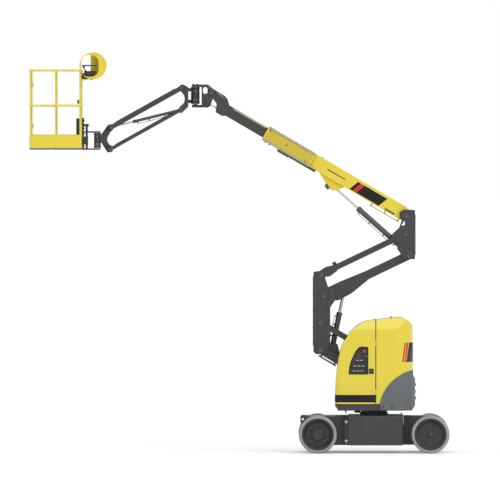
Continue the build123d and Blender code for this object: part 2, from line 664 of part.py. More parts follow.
# ---------------------------------------------------------------- platform
def platform_support():
    """Bracket between the rotator and the platform."""
    support = block(-4290, -4174, -60, 60, 4447, 4470)
    support += block(-4290, -4262, -60, 60, 4447, 4920)
    for low, high in ((4448, 4470), (4700, 4722)):
        support += block(-4270, ROTATE_X, -44, 44, low, high) + upright_bar(ROTATE_X, 0, 44, low, high)
    support += block(-4270, -4174, -60, 60, 4700, 4722)
    support += block(-4270, -4190, -60, 60, 4790, 4828)
    support += upright_bar(-4220, 0, 16, 4465, 4792)
    return support + block(-4263, -4200, -50, 50, 4525, 4643)


def rail_loop(level, radius):
    """Rail round three sides of the platform at one height; the gate closes the +Y side."""
    corners = [(PLATFORM_FRONT, PLATFORM_HALF), (PLATFORM_FRONT, -PLATFORM_HALF),
               (PLATFORM_BACK, -PLATFORM_HALF), (PLATFORM_BACK, PLATFORM_HALF)]
    path = FilletPolyline(*[(x, y, level) for x, y in corners], radius=RAIL_BEND)
    start = Plane(origin=path @ 0, z_dir=path % 0)
    return sweep(start * Circle(radius), path=path)


def platform_frame():
    """Guard rails, posts and kick plates."""
    frame = rail_loop(TOP_RAIL, RAIL_RADIUS) + rail_loop(MID_RAIL, 13)
    bend = 0.29 * RAIL_BEND
    posts = [(PLATFORM_FRONT + bend, bend - PLATFORM_HALF), (PLATFORM_BACK - bend, bend - PLATFORM_HALF)]
    posts += [(PLATFORM_MIDDLE, -PLATFORM_HALF)]
    for x in (PLATFORM_FRONT, PLATFORM_BACK):
        posts += [(x, y) for y in (-INNER_POST_Y, INNER_POST_Y, PLATFORM_HALF)]
    for x, y in posts:
        frame += upright_bar(x, y, POST_RADIUS, FLOOR_TOP, TOP_RAIL)
    kick_half = PLATFORM_HALF + KICK_GAP
    plan = plan_outline(PLATFORM_FRONT - KICK_GAP, PLATFORM_BACK + KICK_GAP, kick_half, 39, 39)
    kick = extrude(plan, amount=KICK_TOP - FLOOR_TOP) - extrude(offset(plan, amount=-4), amount=SLICE)
    frame += Pos(0, 0, FLOOR_TOP) * kick
    near, far = PLATFORM_HALF + 1, kick_half + 1
    frame -= block(PLATFORM_FRONT + 9, PLATFORM_BACK - 9, near, far, FLOOR_TOP, KICK_TOP + 1)
    # Pins of the gate's hinges, on short brackets from the front post.
    side = GATE_HINGE[1] - HINGE_PIN
    for level in HINGE_LEVELS:
        low, high = level - 34, level - 28
        frame += block(PLATFORM_FRONT, GATE_HINGE[0], side, side + 2 * HINGE_PIN, low, high)
        frame += block(PLATFORM_FRONT, PLATFORM_FRONT + 10, side, PLATFORM_HALF - 5, low, high)
        frame += upright_bar(*GATE_HINGE, HINGE_PIN, low, level + 24)
    # Lanyard anchors on the posts next to the console.
    for side in (-1, 1):
        plate = block(PLATFORM_BACK - 4, PLATFORM_BACK + 4, 0, 62, ANCHOR_Z - 30, ANCHOR_Z + 30)
        hole = Location((PLATFORM_BACK, 40, ANCHOR_Z), (0, 90, 0)) * Cylinder(ANCHOR_BORE, 20)
        anchor = Pos(0, INNER_POST_Y + 13, 0) * (plate - hole)
        frame += anchor if side > 0 else mirror(anchor, Plane.XZ)
    return frame


def platform_floor():
    plan = plan_outline(PLATFORM_FRONT - KICK_GAP, PLATFORM_BACK + 11, PLATFORM_HALF + KICK_GAP, 39, 39)
    return Pos(0, 0, FLOOR_LOW) * extrude(plan, amount=FLOOR_TOP - FLOOR_LOW)


def platform_gate():
    """Tube gate with flat end bars and its own kick plate on the +Y side, hinged at the front post."""
    y, foot = PLATFORM_HALF, FLOOR_TOP + 12
    gate = upright_bar(PLATFORM_MIDDLE, y, GATE_RADIUS, foot, TOP_RAIL)
    for x in (GATE_FRONT, GATE_REAR):
        gate += block(x - 3, x + 3, y - 14, y + 14, foot, TOP_RAIL + GATE_RADIUS)
    for level in (KICK_TOP - 10, MID_RAIL, TOP_RAIL):
        gate += bar_between((GATE_FRONT, y, level), (GATE_REAR, y, level), GATE_RADIUS)
    for level in HINGE_LEVELS:
        knuckle = upright_bar(*GATE_HINGE, 2 * HINGE_PIN, level - 26, level + 20)
        gate += knuckle - upright_bar(*GATE_HINGE, HINGE_PIN + PIN_GAP, level - 30, level + 30)
    return gate + block(GATE_FRONT - 3, GATE_REAR, y + 5, y + 9, foot, KICK_TOP)


def console():
    """Operator's console on its tray, which is held by the two inner posts."""
    outline = [(-4290, 5510), (-4290, 5560), (-4180, 5607), (-4085, 5607), (-4100, 5530), (-4130, 5512)]
    body = side_slab(face_of(outline, 6), -260, 260)
    tray = side_slab(face_of([(-4304, 5490), (-4304, 5511), (-4108, 5511), (-4108, 5490)]), -292, 292)
    for side in (-1, 1):
        tray -= upright_bar(PLATFORM_BACK, side * INNER_POST_Y, POST_RADIUS, 5480, 5520)
    return body + tray


def console_guard():
    """Round guard over the console: end rings and a curved back plate."""
    outer = Pos(*GUARD_CENTRE) * Circle(GUARD_RADIUS)
    ring = outer - Pos(GUARD_CENTRE[0] - 47, GUARD_CENTRE[1] - 2) * RectangleRounded(264, 318, 110)
    guard = pair_of_plates(ring, 292, 300)
    shell = outer - Pos(GUARD_CENTRE[0] - 30, GUARD_CENTRE[1]) * Circle(GUARD_RADIUS - 10)
    shell &= Pos(GUARD_CENTRE[0] + 180, GUARD_CENTRE[1]) * Rectangle(320, 2 * GUARD_RADIUS)
    guard += side_slab(shell, -293, 293)
    for side in (-1, 1):
        guard -= upright_bar(PLATFORM_BACK, side * INNER_POST_Y, POST_RADIUS, 5400, TOP_RAIL)
    return guard - round_bar((PLATFORM_BACK, TOP_RAIL), RAIL_RADIUS, -301, 301)


def document_box():
    box = block(-4372, -4312, -230, 60, 4673, 4901)
    return box - block(-4367, -4316, -225, 55, 4680, 4902)


# ---------------------------------------------------------------- write the parts
os.makedirs("parts", exist_ok=True)

save("chassis_frame", chassis_frame())
save("steer_axle", steer_axle())
save("drive_hubs", drive_hubs())
for label, side in (("right", -1), ("left", 1)):
    save(f"steer_knuckle_{label}", steer_knuckle(side))
    for end, x, driven in (("drive", -AXLE_X, True), ("steer", AXLE_X, False)):
        save(f"{end}_tyre_{label}", tyre(x, side))
        save(f"{end}_rim_{label}", rim(x, side, driven))

save("turntable_frame", turntable_frame())
save("counterweight", counterweight())
save("battery_packs", battery_packs())
save("control_panel", control_panel())
shell = hood_shell()
tail = side_slab(hood_cut_outline(), -700, 700)
rear_hood = (shell & block(SEAM_X + 4, 700, -700, 700, HOOD_LOW - 10, 2100)) - tail
door = shell & block(-700, SEAM_X - 4, 0, 700, HOOD_LOW - 10, 2100)
for level in DOOR_HINGE_LEVELS:
    door += hinge_leaf(SEAM_X - 20, level - LEAF_HEIGHT, level)
    rear_hood += both_sides(hinge_leaf(SEAM_X + 20, level + 1, level + LEAF_HEIGHT))
save("rear_hood", rear_hood)
save("door_left", door)
save("door_right", mirror(door, Plane.XZ) - side_slab(window_outline(), -700, -500))

save("lower_link", lower_link())
save("lower_tie_link", lower_tie_link())
save("riser_upright", riser_upright())
save("upper_link", upper_link())
save("upper_tie_link", upper_tie_link())
save("boom_upright", boom_upright())
save("riser_cylinder_barrel", cylinder_pair(
    "riser_cylinder", RISER_CYLINDER_FOOT, RISER_CYLINDER_EYE, 40, 24, 560, 564, 40) - round_bar(
    RISER_CYLINDER_FOOT, SMALL_PIN + PIN_GAP, -60, 60))

save("boom_cylinder_barrel", cylinder_pair(
    "boom_cylinder", BOOM_CYLINDER_FOOT, BOOM_CYLINDER_EYE, 40, 15, 833, 860, 34) - round_bar(
    BOOM_CYLINDER_FOOT, SMALL_PIN + PIN_GAP, -60, 60))
save("main_boom", main_boom())
save("hose_tray", hose_tray())
save("energy_chain", energy_chain())
save("fly_boom", fly_boom())
save("level_cylinder_barrel", cylinder_pair(
    "level_cylinder", LEVEL_FOOT, LEVEL_EYE, 27, 13, 367, 290, 28) - round_bar(
    LEVEL_FOOT, 16 + PIN_GAP, -60, 60))
save("gooseneck_fork", gooseneck_fork())

save("jib_swing_base", jib_swing_base())
save("jib_upper_link", jib_arm(JIB_TOP_FOOT, JIB_TOP_HEAD, 69, 28, True, False))
save("jib_lower_link", jib_arm(JIB_LOW_FOOT, JIB_LOW_HEAD, 49, -18, False, True))
save("jib_cylinder_barrel", cylinder_pair(
    "jib_cylinder", JIB_LOW_FOOT, JIB_TOP_HEAD, 21, 11, 716, 855, 22) - round_bar(
    JIB_LOW_FOOT, JIB_PIN + PIN_GAP, -60, 60))
save("jib_head", jib_head())
save("platform_rotator", platform_rotator())

save("platform_support", platform_support())
save("platform_frame", platform_frame())
save("platform_floor", platform_floor())
save("platform_gate", platform_gate())
save("console", console())
save("console_guard", console_guard())
save("document_box", document_box())
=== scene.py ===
# %% [markdown]
# # A narrow electric boom lift
# The lift's steelwork, wheels, cylinders and covers come from a CAD model in metres, with the
# slewing axis over the origin, the boom towards -X and the floor at Z 0. This lesson dresses it:
# every surface gets the finish that its maker gave it, and the small fittings are modelled on top.
# The CAD nodes are never moved, so each new piece is placed by the machine's own dimensions.

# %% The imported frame
import json
from contextlib import contextmanager
from itertools import product
from math import atan2, cos, hypot, pi, radians, sin

import bmesh
import bpy
from mathutils import Matrix, Vector


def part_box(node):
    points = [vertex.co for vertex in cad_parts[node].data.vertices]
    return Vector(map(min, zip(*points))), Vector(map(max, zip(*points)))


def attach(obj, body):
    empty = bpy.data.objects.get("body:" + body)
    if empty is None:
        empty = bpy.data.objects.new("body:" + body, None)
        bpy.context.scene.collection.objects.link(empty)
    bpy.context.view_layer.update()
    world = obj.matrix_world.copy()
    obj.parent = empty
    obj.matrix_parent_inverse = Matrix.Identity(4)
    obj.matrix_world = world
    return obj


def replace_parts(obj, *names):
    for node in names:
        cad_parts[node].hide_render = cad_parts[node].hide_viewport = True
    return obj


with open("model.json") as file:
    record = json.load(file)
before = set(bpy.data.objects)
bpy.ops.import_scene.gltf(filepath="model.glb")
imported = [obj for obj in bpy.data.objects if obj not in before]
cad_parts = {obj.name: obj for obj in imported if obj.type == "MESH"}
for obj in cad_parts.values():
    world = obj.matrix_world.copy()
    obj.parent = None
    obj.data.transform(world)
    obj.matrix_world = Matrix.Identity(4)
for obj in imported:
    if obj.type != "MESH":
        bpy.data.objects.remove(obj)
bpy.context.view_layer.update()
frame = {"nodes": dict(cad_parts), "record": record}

# %% [markdown]
# ## Camera
# A side view of a long machine is taken from far away with a long lens, so that near and far
# wheels have the same size. The camera stands 200 m off and one degree above the level.

# %% Camera
CAMERA_DISTANCE = 200.0
CAMERA_RISE = radians(1.0)
VIEW_MIDDLE = Vector((-1.821, 0.0, 2.975))
VIEW_WIDTH = 7.35
SENSOR = 36.0

bpy.ops.object.camera_add()
camera = bpy.context.object
camera.name = "side_camera"
camera.data.sensor_width = SENSOR
camera.data.lens = SENSOR * CAMERA_DISTANCE / VIEW_WIDTH
camera.data.clip_start = 1.0
camera.data.clip_end = 900.0
camera.location = VIEW_MIDDLE + Vector((0, -cos(CAMERA_RISE), sin(CAMERA_RISE))) * CAMERA_DISTANCE
camera.rotation_euler = (pi / 2 - CAMERA_RISE, 0, 0)
bpy.context.scene.camera = camera
bpy.context.scene.view_settings.view_transform = "Standard"
print("camera:", round(camera.data.lens, 1), "mm lens")

# %% [markdown]
# ## Colours and nodes
# Paint colours are written as sRGB hex codes and turned to linear light in one place. One small
# function adds a shader node with its settings and links, and a finish is written as a short
# chain of such nodes, so that each recipe reads from top to bottom.

# %% Colour and node helpers
def linear(code):
    """Linear RGBA of an sRGB hex code."""
    channels = [int(code[i:i + 2], 16) / 255 for i in (1, 3, 5)]
    return (*[c / 12.92 if c <= 0.04045 else ((c + 0.055) / 1.055) ** 2.4 for c in channels], 1.0)


def add(tree, kind, sockets=(), **settings):
    """Adds a node. A socket's value is a constant, a hex code, or the output it is linked to."""
    node = tree.nodes.new("ShaderNode" + kind)
    for key, value in settings.items():
        setattr(node, key, value)
    for key, value in dict(sockets).items():
        if isinstance(value, bpy.types.NodeSocket):
            tree.links.new(value, node.inputs[key])
        else:
            node.inputs[key].default_value = linear(value) if isinstance(value, str) else value
    return node


class Finish:
    """A material on Object coordinates. Each step adds one node and gives its output."""

    def __init__(self, name):
        self.material = bpy.data.materials.new(name)
        self.material.use_nodes = True
        self.tree = self.material.node_tree
        self.tree.nodes.clear()
        self.place = add(self.tree, "TexCoord").outputs["Object"]

    def noise(self, scale, detail, roughness=0.5, place=None):
        sockets = {"Vector": place or self.place, "Scale": scale, "Detail": detail, "Roughness": roughness}
        return add(self.tree, "TexNoise", sockets).outputs[0]

    def cells(self, scale, feature="F1"):
        sockets = {"Vector": self.place, "Scale": scale}
        return add(self.tree, "TexVoronoi", sockets, feature=feature).outputs[0]

    def ramp(self, value, low, high, start, end):
        sockets = {"Value": value, "From Min": low, "From Max": high, "To Min": start, "To Max": end}
        return add(self.tree, "MapRange", sockets).outputs[0]

    def maths(self, operation, first, second):
        return add(self.tree, "Math", {0: first, 1: second}, operation=operation).outputs[0]

    def blend(self, amount, first, second):
        return add(self.tree, "Mix", {0: amount, 6: first, 7: second}, data_type="RGBA").outputs[2]

    def bump(self, height, strength, distance):
        sockets = {"Height": height, "Strength": strength, "Distance": distance}
        return add(self.tree, "Bump", sockets).outputs[0]

    def shade(self, **sockets):
        """The Principled shader and the output that end every recipe."""
        names = {key.replace("_", " "): value for key, value in sockets.items()}
        surface = add(self.tree, "BsdfPrincipled", names)
        add(self.tree, "OutputMaterial", {"Surface": surface.outputs[0]})
        return self.material


print("helpers: linear, add, Finish")

# %% [markdown]
# ## Light
# The machine stands in a white studio. A white surround gives even light, and one very wide
# lamp from above and beside the camera gives the covers their soft shading. Camera, mirror and
# glass rays see pure white; the light itself is kept lower, so that paint shows its own colour.

# %% Surround and lamp
SURROUND_LIGHT = 0.62
LAMP_STRENGTH = 1.55
LAMP_SPREAD = radians(80)

world = bpy.data.worlds.new("white_studio")
bpy.context.scene.world = world
world.use_nodes = True
surround = world.node_tree
surround.nodes.clear()


def seen_directly(tree):
    """1 for rays from the camera, a mirror or glass, and 0 for rays that carry light."""
    rays = add(tree, "LightPath")
    looks = add(tree, "Math", {0: rays.outputs["Is Camera Ray"], 1: rays.outputs["Is Glossy Ray"]},
                operation="MAXIMUM")
    return add(tree, "Math", {0: looks.outputs[0], 1: rays.outputs["Is Transmission Ray"]},
               operation="MAXIMUM").outputs[0]


glow = add(surround, "Background", {"Color": "#FFFFFF", "Strength": SURROUND_LIGHT})
white = add(surround, "Background", {"Color": "#FFFFFF", "Strength": 1.0})
either = add(surround, "MixShader", {0: seen_directly(surround), 1: glow.outputs[0], 2: white.outputs[0]})
add(surround, "OutputWorld", {"Surface": either.outputs[0]})

bpy.ops.object.light_add(type="SUN")
lamp = bpy.context.object
lamp.name = "wide_lamp"
lamp.data.energy = LAMP_STRENGTH
lamp.data.angle = LAMP_SPREAD
lamp.rotation_euler = Vector((0.32, -0.62, 0.72)).to_track_quat("Z", "Y").to_euler()
print("light: surround", SURROUND_LIGHT, "and lamp", LAMP_STRENGTH)

# %% [markdown]
# ## Floor
# The studio floor is painted white and runs far behind the machine. It glows a little for the
# camera, so that it meets the white surround without an edge and only the shadow under the
# machine shows.

# %% Floor
FLOOR_GLOW = 0.22
FLOOR_REACH = 260.0

bpy.ops.mesh.primitive_plane_add(size=2 * FLOOR_REACH)
floor = bpy.context.object
floor.name = "studio_floor"
floor_paint = Finish("studio_floor_paint")
tree = floor_paint.tree
matt = add(tree, "BsdfDiffuse", {"Color": "#EDEDED"})
bright = add(tree, "Emission", {"Color": "#FFFFFF", "Strength": FLOOR_GLOW})
none = add(tree, "Emission", {"Strength": 0.0})
extra = add(tree, "MixShader", {0: seen_directly(tree), 1: none.outputs[0], 2: bright.outputs[0]})
total = add(tree, "AddShader", {0: matt.outputs[0], 1: extra.outputs[0]})
add(tree, "OutputMaterial", {"Surface": total.outputs[0]})
floor.data.materials.append(floor_paint.material)
print("floor:", 2 * FLOOR_REACH, "m wide")

# %% [markdown]
# ## Sprayed enamel
# Frames, arms and covers of a machine are sprayed with a two-part enamel over primer. The wet
# coat levels out with a faint orange peel, and dust and handling dull it unevenly. A bump of
# fine noise makes the peel, and two slow noises vary tone and gloss, so no panel looks flat.

# %% Enamel recipe
PEEL_SPACING = 0.006      # real peel is near 2 mm; drawn coarser so that it shows


def enamel(name, code, dusty, gloss=0.32, dust=0.16, coat=0.15):
    """Sprayed enamel: an even colour under clear gloss, with peel, faint dust and handling marks."""
    paint = Finish(name)
    cloud = paint.noise(1.7, 5.0, 0.6)
    upright = add(paint.tree, "Mapping", {"Vector": paint.place, "Scale": (5.0, 5.0, 1.1)}).outputs[0]
    streak = paint.noise(3.0, 6.0, place=upright)
    dusted = paint.blend(paint.ramp(cloud, 0.46, 0.78, 0.0, dust), code, dusty)
    marked = paint.blend(paint.ramp(streak, 0.56, 0.74, 0.0, dust * 0.6), dusted, dusty)
    return paint.shade(Base_Color=marked, Roughness=paint.ramp(cloud, 0.3, 0.75, gloss, gloss + 0.16),
                       Normal=paint.bump(paint.noise(1 / PEEL_SPACING, 1.0), 0.05, 0.002),
                       IOR=1.5, Coat_Weight=coat, Coat_Roughness=0.12)


yellow_enamel = enamel("yellow_two_part_enamel", "#E4CF33", "#BCA83A")
# A darker copy of the yellow enamel, used as painted shade: on the tray's recessed face and on the guard
# webs, which stand in shadow.
shaded_enamel = enamel("painted_shade_yellow_enamel", "#C9B42B", "#A8972F", gloss=0.4, dust=0.2)
grey_enamel = enamel("charcoal_two_part_enamel", "#2B2E31", "#55544F", gloss=0.42, coat=0.0)
olive_enamel = enamel("olive_primer_enamel", "#47462F", "#6A6753", gloss=0.5, dust=0.25)
rim_enamel = enamel("dark_wheel_enamel", "#27292B", "#5C5A55", gloss=0.5, dust=0.22, coat=0.0)
cylinder_enamel = enamel("black_cylinder_enamel", "#2E3032", "#4C4B47", gloss=0.24, dust=0.1, coat=0.55)
floor_enamel = enamel("worn_grey_floor_enamel", "#55585A", "#8A8984", gloss=0.45, dust=0.4)
print("enamels: 7, with peel every", PEEL_SPACING * 1000, "mm")

# %% [markdown]
# ## Moulded hood skin
# The hood covers are glass-fibre mouldings with a yellow gel coat. A gel coat is smoother and
# glossier than sprayed steel, with long shallow waves from the mould instead of orange peel, and
# road grime settles on its foot.

# %% Gel coat
WAVE_SPACING = 0.09       # the moulding's own waviness, near 90 mm
GRIME_TOP, GRIME_FOOT = 1.15, 0.72

gel = Finish("yellow_gel_coat")
cloud = gel.noise(1.2, 4.0, 0.55)
height = add(gel.tree, "SeparateXYZ", {0: gel.place}).outputs["Z"]
grime = gel.maths("MULTIPLY", gel.ramp(height, GRIME_FOOT, GRIME_TOP, 0.3, 0.0), cloud)
faded = gel.blend(gel.ramp(cloud, 0.42, 0.7, 0.0, 0.35), "#E1CE2E", "#D8C233")
hood_gel_coat = gel.shade(Base_Color=gel.blend(grime, faded, "#9A8C45"),
                          Roughness=gel.ramp(cloud, 0.3, 0.7, 0.2, 0.32),
                          Normal=gel.bump(gel.noise(1 / WAVE_SPACING, 1.0), 0.25, 0.0012),
                          IOR=1.52, Coat_Weight=0.35, Coat_Roughness=0.08)
print("hood skin:", hood_gel_coat.name)

# %% [markdown]
# ## Castings, rubber and plastic
# The tail weight is grey cast iron under thick paint, so its sand-mould grain still shows. The
# tyres are solid, press-on, of pale non-marking rubber, which has chalky bloom and rubbed-in
# dirt. Boxes and handles are moulded plastic with a fine spark-eroded grain.

# %% Casting
GRAIN_SPACING = 0.012     # sand grain and pits, drawn coarser than the real 2 to 4 mm

iron = Finish("painted_grey_iron")
sand = iron.noise(2.2 / GRAIN_SPACING, 4.0)
dust = iron.ramp(iron.noise(2.1, 6.0, 0.65), 0.45, 0.75, 0.0, 0.3)
relief = iron.maths("ADD", iron.cells(1 / GRAIN_SPACING), sand)
cast_weight = iron.shade(Base_Color=iron.blend(dust, "#5A5F62", "#7A7974"),
                         Roughness=iron.ramp(sand, 0.0, 1.0, 0.42, 0.62),
                         Normal=iron.bump(relief, 0.22, 0.002), IOR=1.5)
print("casting:", cast_weight.name)

# %% Rubber
BLOOM_SPACING = 0.05      # patches of chalky bloom


def rubber(name, code, scuffed):
    """Solid rubber: rubbed-in dirt below patches of pale bloom."""
    skin = Finish(name)
    bloom = skin.noise(1 / BLOOM_SPACING, 7.0, 0.7)
    worn = skin.blend(skin.ramp(skin.noise(4.0, 5.0), 0.42, 0.7, 0.0, 0.55), code, scuffed)
    chalky = skin.blend(skin.ramp(bloom, 0.5, 0.75, 0.0, 0.25), worn, "#C6C7C5")
    return skin.shade(Base_Color=chalky, Roughness=0.78, Normal=skin.bump(bloom, 0.2, 0.0015), IOR=1.52,
                      Specular_IOR_Level=0.3)


tyre_rubber = rubber("pale_non_marking_rubber", "#A3A4A3", "#7E7D7A")
boot_rubber = rubber("black_moulded_rubber", "#1D1E1F", "#343434")
print("rubber:", tyre_rubber.name, boot_rubber.name)

# %% Moulded plastic
SPARK_GRAIN = 0.004       # spark-eroded mould grain, drawn at 4 mm


def moulded(name, code, worn, rough=0.45, grain=0.25):
    """Moulded plastic: a fine grain, rubbed duller in patches."""
    plastic = Finish(name)
    rub = plastic.noise(9.0, 5.0)
    return plastic.shade(Base_Color=plastic.blend(plastic.ramp(rub, 0.5, 0.72, 0.0, 0.4), code, worn),
                         Roughness=plastic.ramp(rub, 0.0, 1.0, rough - 0.06, rough + 0.08),
                         Normal=plastic.bump(plastic.cells(1 / SPARK_GRAIN, "SMOOTH_F1"), grain, 0.0006),
                         IOR=1.46)


black_plastic = moulded("black_moulded_abs", "#1F2022", "#38383A")
battery_case = moulded("black_polypropylene", "#26282A", "#45423C", rough=0.55)
chain_nylon = moulded("black_glass_filled_nylon", "#2B2A26", "#45433A", rough=0.5)
# Beige nylon: a real colour on the stop collar and battery posts, and painted highlight on the fly's top
# edges and the tray's long lips.
beige_nylon_and_highlight = moulded("beige_nylon_and_painted_highlight", "#A9A184", "#8F8A72", rough=0.5, grain=0.1)
red_plastic = moulded("red_moulded_abs", "#B3201C", "#8E1F1B", rough=0.3, grain=0.08)
green_plastic = moulded("green_moulded_abs", "#2E7D43", "#2A6239", rough=0.3, grain=0.08)
clear_lens = moulded("smoked_polycarbonate", "#3A4046", "#4A5058", rough=0.12, grain=0.02)
print("plastics: 7, with grain every", SPARK_GRAIN * 1000, "mm")

# %% [markdown]
# ## Bright metal
# Cylinder rods are ground steel under hard chrome, polished along their length. Bolts and pins
# are zinc plated, which leaves a cool, slightly mottled white metal.

# %% Chrome and zinc
GRIND_SPACING = 0.003     # grinding lines, drawn at 3 mm


def bright_metal(name, code, mottled, rough, mottle):
    """Plated metal: spangled in tone, with faint grinding lines."""
    metal = Finish(name)
    return metal.shade(Base_Color=metal.blend(metal.cells(120.0), code, mottled), Metallic=1.0,
                       Roughness=metal.ramp(metal.noise(30.0, 3.0), 0.0, 1.0, rough, rough + mottle),
                       Normal=metal.bump(metal.noise(1 / GRIND_SPACING, 2.0), 0.05, 0.0004))


chrome_rod = bright_metal("ground_hard_chrome", "#B9BBBD", "#A9ABAD", 0.12, 0.08)
zinc_plate = bright_metal("zinc_plated_steel", "#A7A9AB", "#8E9194", 0.32, 0.2)
dark_zinc = bright_metal("black_zinc_steel", "#5A5C5F", "#46484A", 0.4, 0.2)
print("metals:", chrome_rod.name, zinc_plate.name, dark_zinc.name)

# %% [markdown]
# ## Printed film
# Trim bands and stripes are cut from self-adhesive vinyl film: an even, satin colour a fraction
# of a millimetre thick, with the faint texture of the skin below.

# %% Vinyl film
def vinyl(name, code, faded, sheen=0.5):
    """Vinyl film: a satin colour that has faded in patches."""
    film = Finish(name)
    fading = film.ramp(film.noise(5.0, 6.0), 0.45, 0.75, 0.0, 0.4)
    return film.shade(Base_Color=film.blend(fading, code, faded), Roughness=0.34,
                      Normal=film.bump(film.noise(160.0, 2.0), 0.06, 0.0008), IOR=1.48,
                      Specular_IOR_Level=sheen)


black_film = vinyl("black_vinyl_film", "#121213", "#201F1E", 0.25)
red_film = vinyl("red_vinyl_film", "#D8281C", "#BE2E22")
print("films:", black_film.name, red_film.name)

# %% [markdown]
# ## Finishes on the CAD nodes
# The record names a material slot for every node, and each slot gets its finish here. Only the
# platform's floor differs from its slot: it is trodden bare, so it has a paler, dustier enamel.

# %% Dress the nodes
FINISH_OF_SLOT = {
    "yellow_enamel": yellow_enamel, "grey_enamel": grey_enamel, "olive_enamel": olive_enamel,
    "rim_enamel": rim_enamel, "grey_tyre": tyre_rubber, "cylinder_enamel": cylinder_enamel,
    "chrome_rod": chrome_rod, "cast_weight": cast_weight, "hood_plastic": hood_gel_coat,
    "black_plastic": black_plastic, "battery_case": battery_case,
}
slot_of_node = {part["node"]: part["material_slot"] for part in frame["record"]["subparts"]}
for node, cad_part in frame["nodes"].items():
    finish = floor_enamel if node == "platform_floor" else FINISH_OF_SLOT[slot_of_node[node]]
    cad_part.data.materials.clear()
    cad_part.data.materials.append(finish)
print("dressed:", len(slot_of_node), "nodes")

# %% [markdown]
# ## Bench tools
# Every fitting starts as a primitive and is shaped in edit mode, the way it would be by hand:
# extruded, scaled, bevelled, inset or cut. These few helpers only shorten the steps that come
# back all the time. Dimensions are given in millimetres, as on a drawing, and turned to metres.

# %% Points and places
SIDES = (("right", -1), ("left", 1))
UP = Vector((0, 0, 1))
HERE = Matrix()
MIRROR_Y, MIRROR_Z = Matrix.Scale(-1, 4, (0, 1, 0)), Matrix.Scale(-1, 4, (0, 0, 1))
STAND_UP = Matrix(((1, 0, 0, 0), (0, 0, -1, 0), (0, 1, 0, 0), (0, 0, 0, 1)))   # a drawing's Y becomes Z
FACE_ON = Matrix(((0, 0, 1, 0), (1, 0, 0, 0), (0, 1, 0, 0), (0, 0, 0, 1)))     # X, Y become Y, Z


def mm(x, y, z):
    """A point given in millimetres."""
    return Vector((x, y, z)) / 1000


def shift(x, y, z):
    """A move given in millimetres."""
    return Matrix.Translation(mm(x, y, z))


def spin(angle, axis="Z"):
    """A turn about an axis through the origin."""
    return Matrix.Rotation(angle, 4, axis)


def at(point, outward, turn=0.0):
    """The place of a fitting whose foot is at the point and whose own Z looks outward."""
    facing = Vector(outward).to_track_quat("Z", "Y").to_matrix().to_4x4()
    return Matrix.Translation(point) @ facing @ spin(turn)


def along(foot, head):
    """The frame of an arm: X runs from pin to pin (X and Z in mm), Y is its upper side."""
    run = Vector((head[0] - foot[0], 0, head[1] - foot[1])).normalized()
    across = Vector((0, 1 if run.x < 0 else -1, 0))
    axes = Matrix((run, across.cross(run), across)).transposed().to_4x4()
    return shift(foot[0], 0, foot[1]) @ axes


def crossings(outward, xs, ys, zs):
    """Places at every crossing of X, Y and Z distances (mm), looking outward."""
    return [at(mm(*point), outward) for point in product(xs, ys, zs)]


def on_sides(reach, points):
    """Places at (x, z) on both sides of the machine, at a distance (mm) from its middle plane."""
    return [at(mm(x, side * reach, z), (0, side, 0)) for _, side in SIDES for x, z in points]


def circle_of(count, radius, height, offset=0.0):
    """Places round Z at a radius and a height in mm."""
    return [spin(2 * pi * (i + offset) / count) @ shift(radius, 0, height) for i in range(count)]


print("places: mm, shift, spin, at, along, crossings, on_sides, circle_of")

# %% Selecting
SAME_POINT = 0.00001      # points closer than this are one point


def alone(*chosen):
    """Selects only these pieces and makes the last one active."""
    bpy.ops.object.select_all(action="DESELECT")
    for piece in chosen:
        piece.select_set(True)
        bpy.context.view_layer.objects.active = piece


@contextmanager
def editing(*chosen):
    """Edit mode on the chosen pieces, or on the active one, then object mode again."""
    if chosen:
        alone(*chosen)
    bpy.ops.object.mode_set(mode="EDIT")
    yield
    bpy.ops.object.mode_set(mode="OBJECT")


def take_all(kind=None):
    """In edit mode, selects everything, as points, edges or faces."""
    if kind:
        bpy.ops.mesh.select_mode(type=kind)
    bpy.ops.mesh.select_all(action="SELECT")


def face_out():
    """In edit mode, turns all the normals outward."""
    take_all()
    bpy.ops.mesh.normals_make_consistent(inside=False)


def pick(test, kind="FACE"):
    """In edit mode, selects the faces or edges whose middle and normal (or run) pass the test."""
    bpy.ops.mesh.select_mode(type=kind)
    bpy.ops.mesh.select_all(action="DESELECT")
    mesh = bmesh.from_edit_mesh(bpy.context.edit_object.data)
    if kind == "FACE":
        chosen = [face for face in mesh.faces if test(face.calc_center_median(), face.normal)]
    else:
        chosen = [edge for edge in mesh.edges if test((edge.verts[0].co + edge.verts[1].co) / 2,
                                                      (edge.verts[1].co - edge.verts[0].co).normalized())]
    for item in chosen:
        item.select_set(True)
    bmesh.update_edit_mesh(bpy.context.edit_object.data)


print("selecting: alone, editing, take_all, face_out, pick")

# %% Shaping
def extrude(x, y, z):
    """In edit mode, draws the selected faces out by a way in mm."""
    bpy.ops.mesh.extrude_region_move(TRANSFORM_OT_translate={"value": mm(x, y, z)})


def resize(grow, height=0.0):
    """In edit mode, scales the selection away from the Z axis, or towards it."""
    bpy.ops.transform.resize(value=(grow, grow, 1), center_override=(0, 0, height))


def pressed(piece, facing, *steps, sink=0):
    """Insets the faces that look one way, by (width, depth) pairs in mm, then sinks what is left."""
    facing = Vector(facing)
    with editing(piece):
        pick(lambda middle, normal: normal.dot(facing) > 0.9)
        for width, depth in steps:
            bpy.ops.mesh.inset(thickness=width / 1000, depth=depth / 1000)
        if sink:
            extrude(*(-facing * sink))
    return piece


def face_index(point, count):
    """The number of the face, out of count round the Z axis, in which a point lies."""
    return int((atan2(point.y, point.x) + pi) / (2 * pi) * count)


def toothed(piece, test, grow):
    """Raises the faces that pass the test away from the Z axis, or sinks them towards it."""
    with editing(piece):
        pick(test)
        extrude(0, 0, 0)
        resize(grow)
    return piece


def joined(pieces):
    """Joins pieces to one."""
    alone(*pieces)
    if len(pieces) > 1:
        bpy.ops.object.join()
    return bpy.context.object


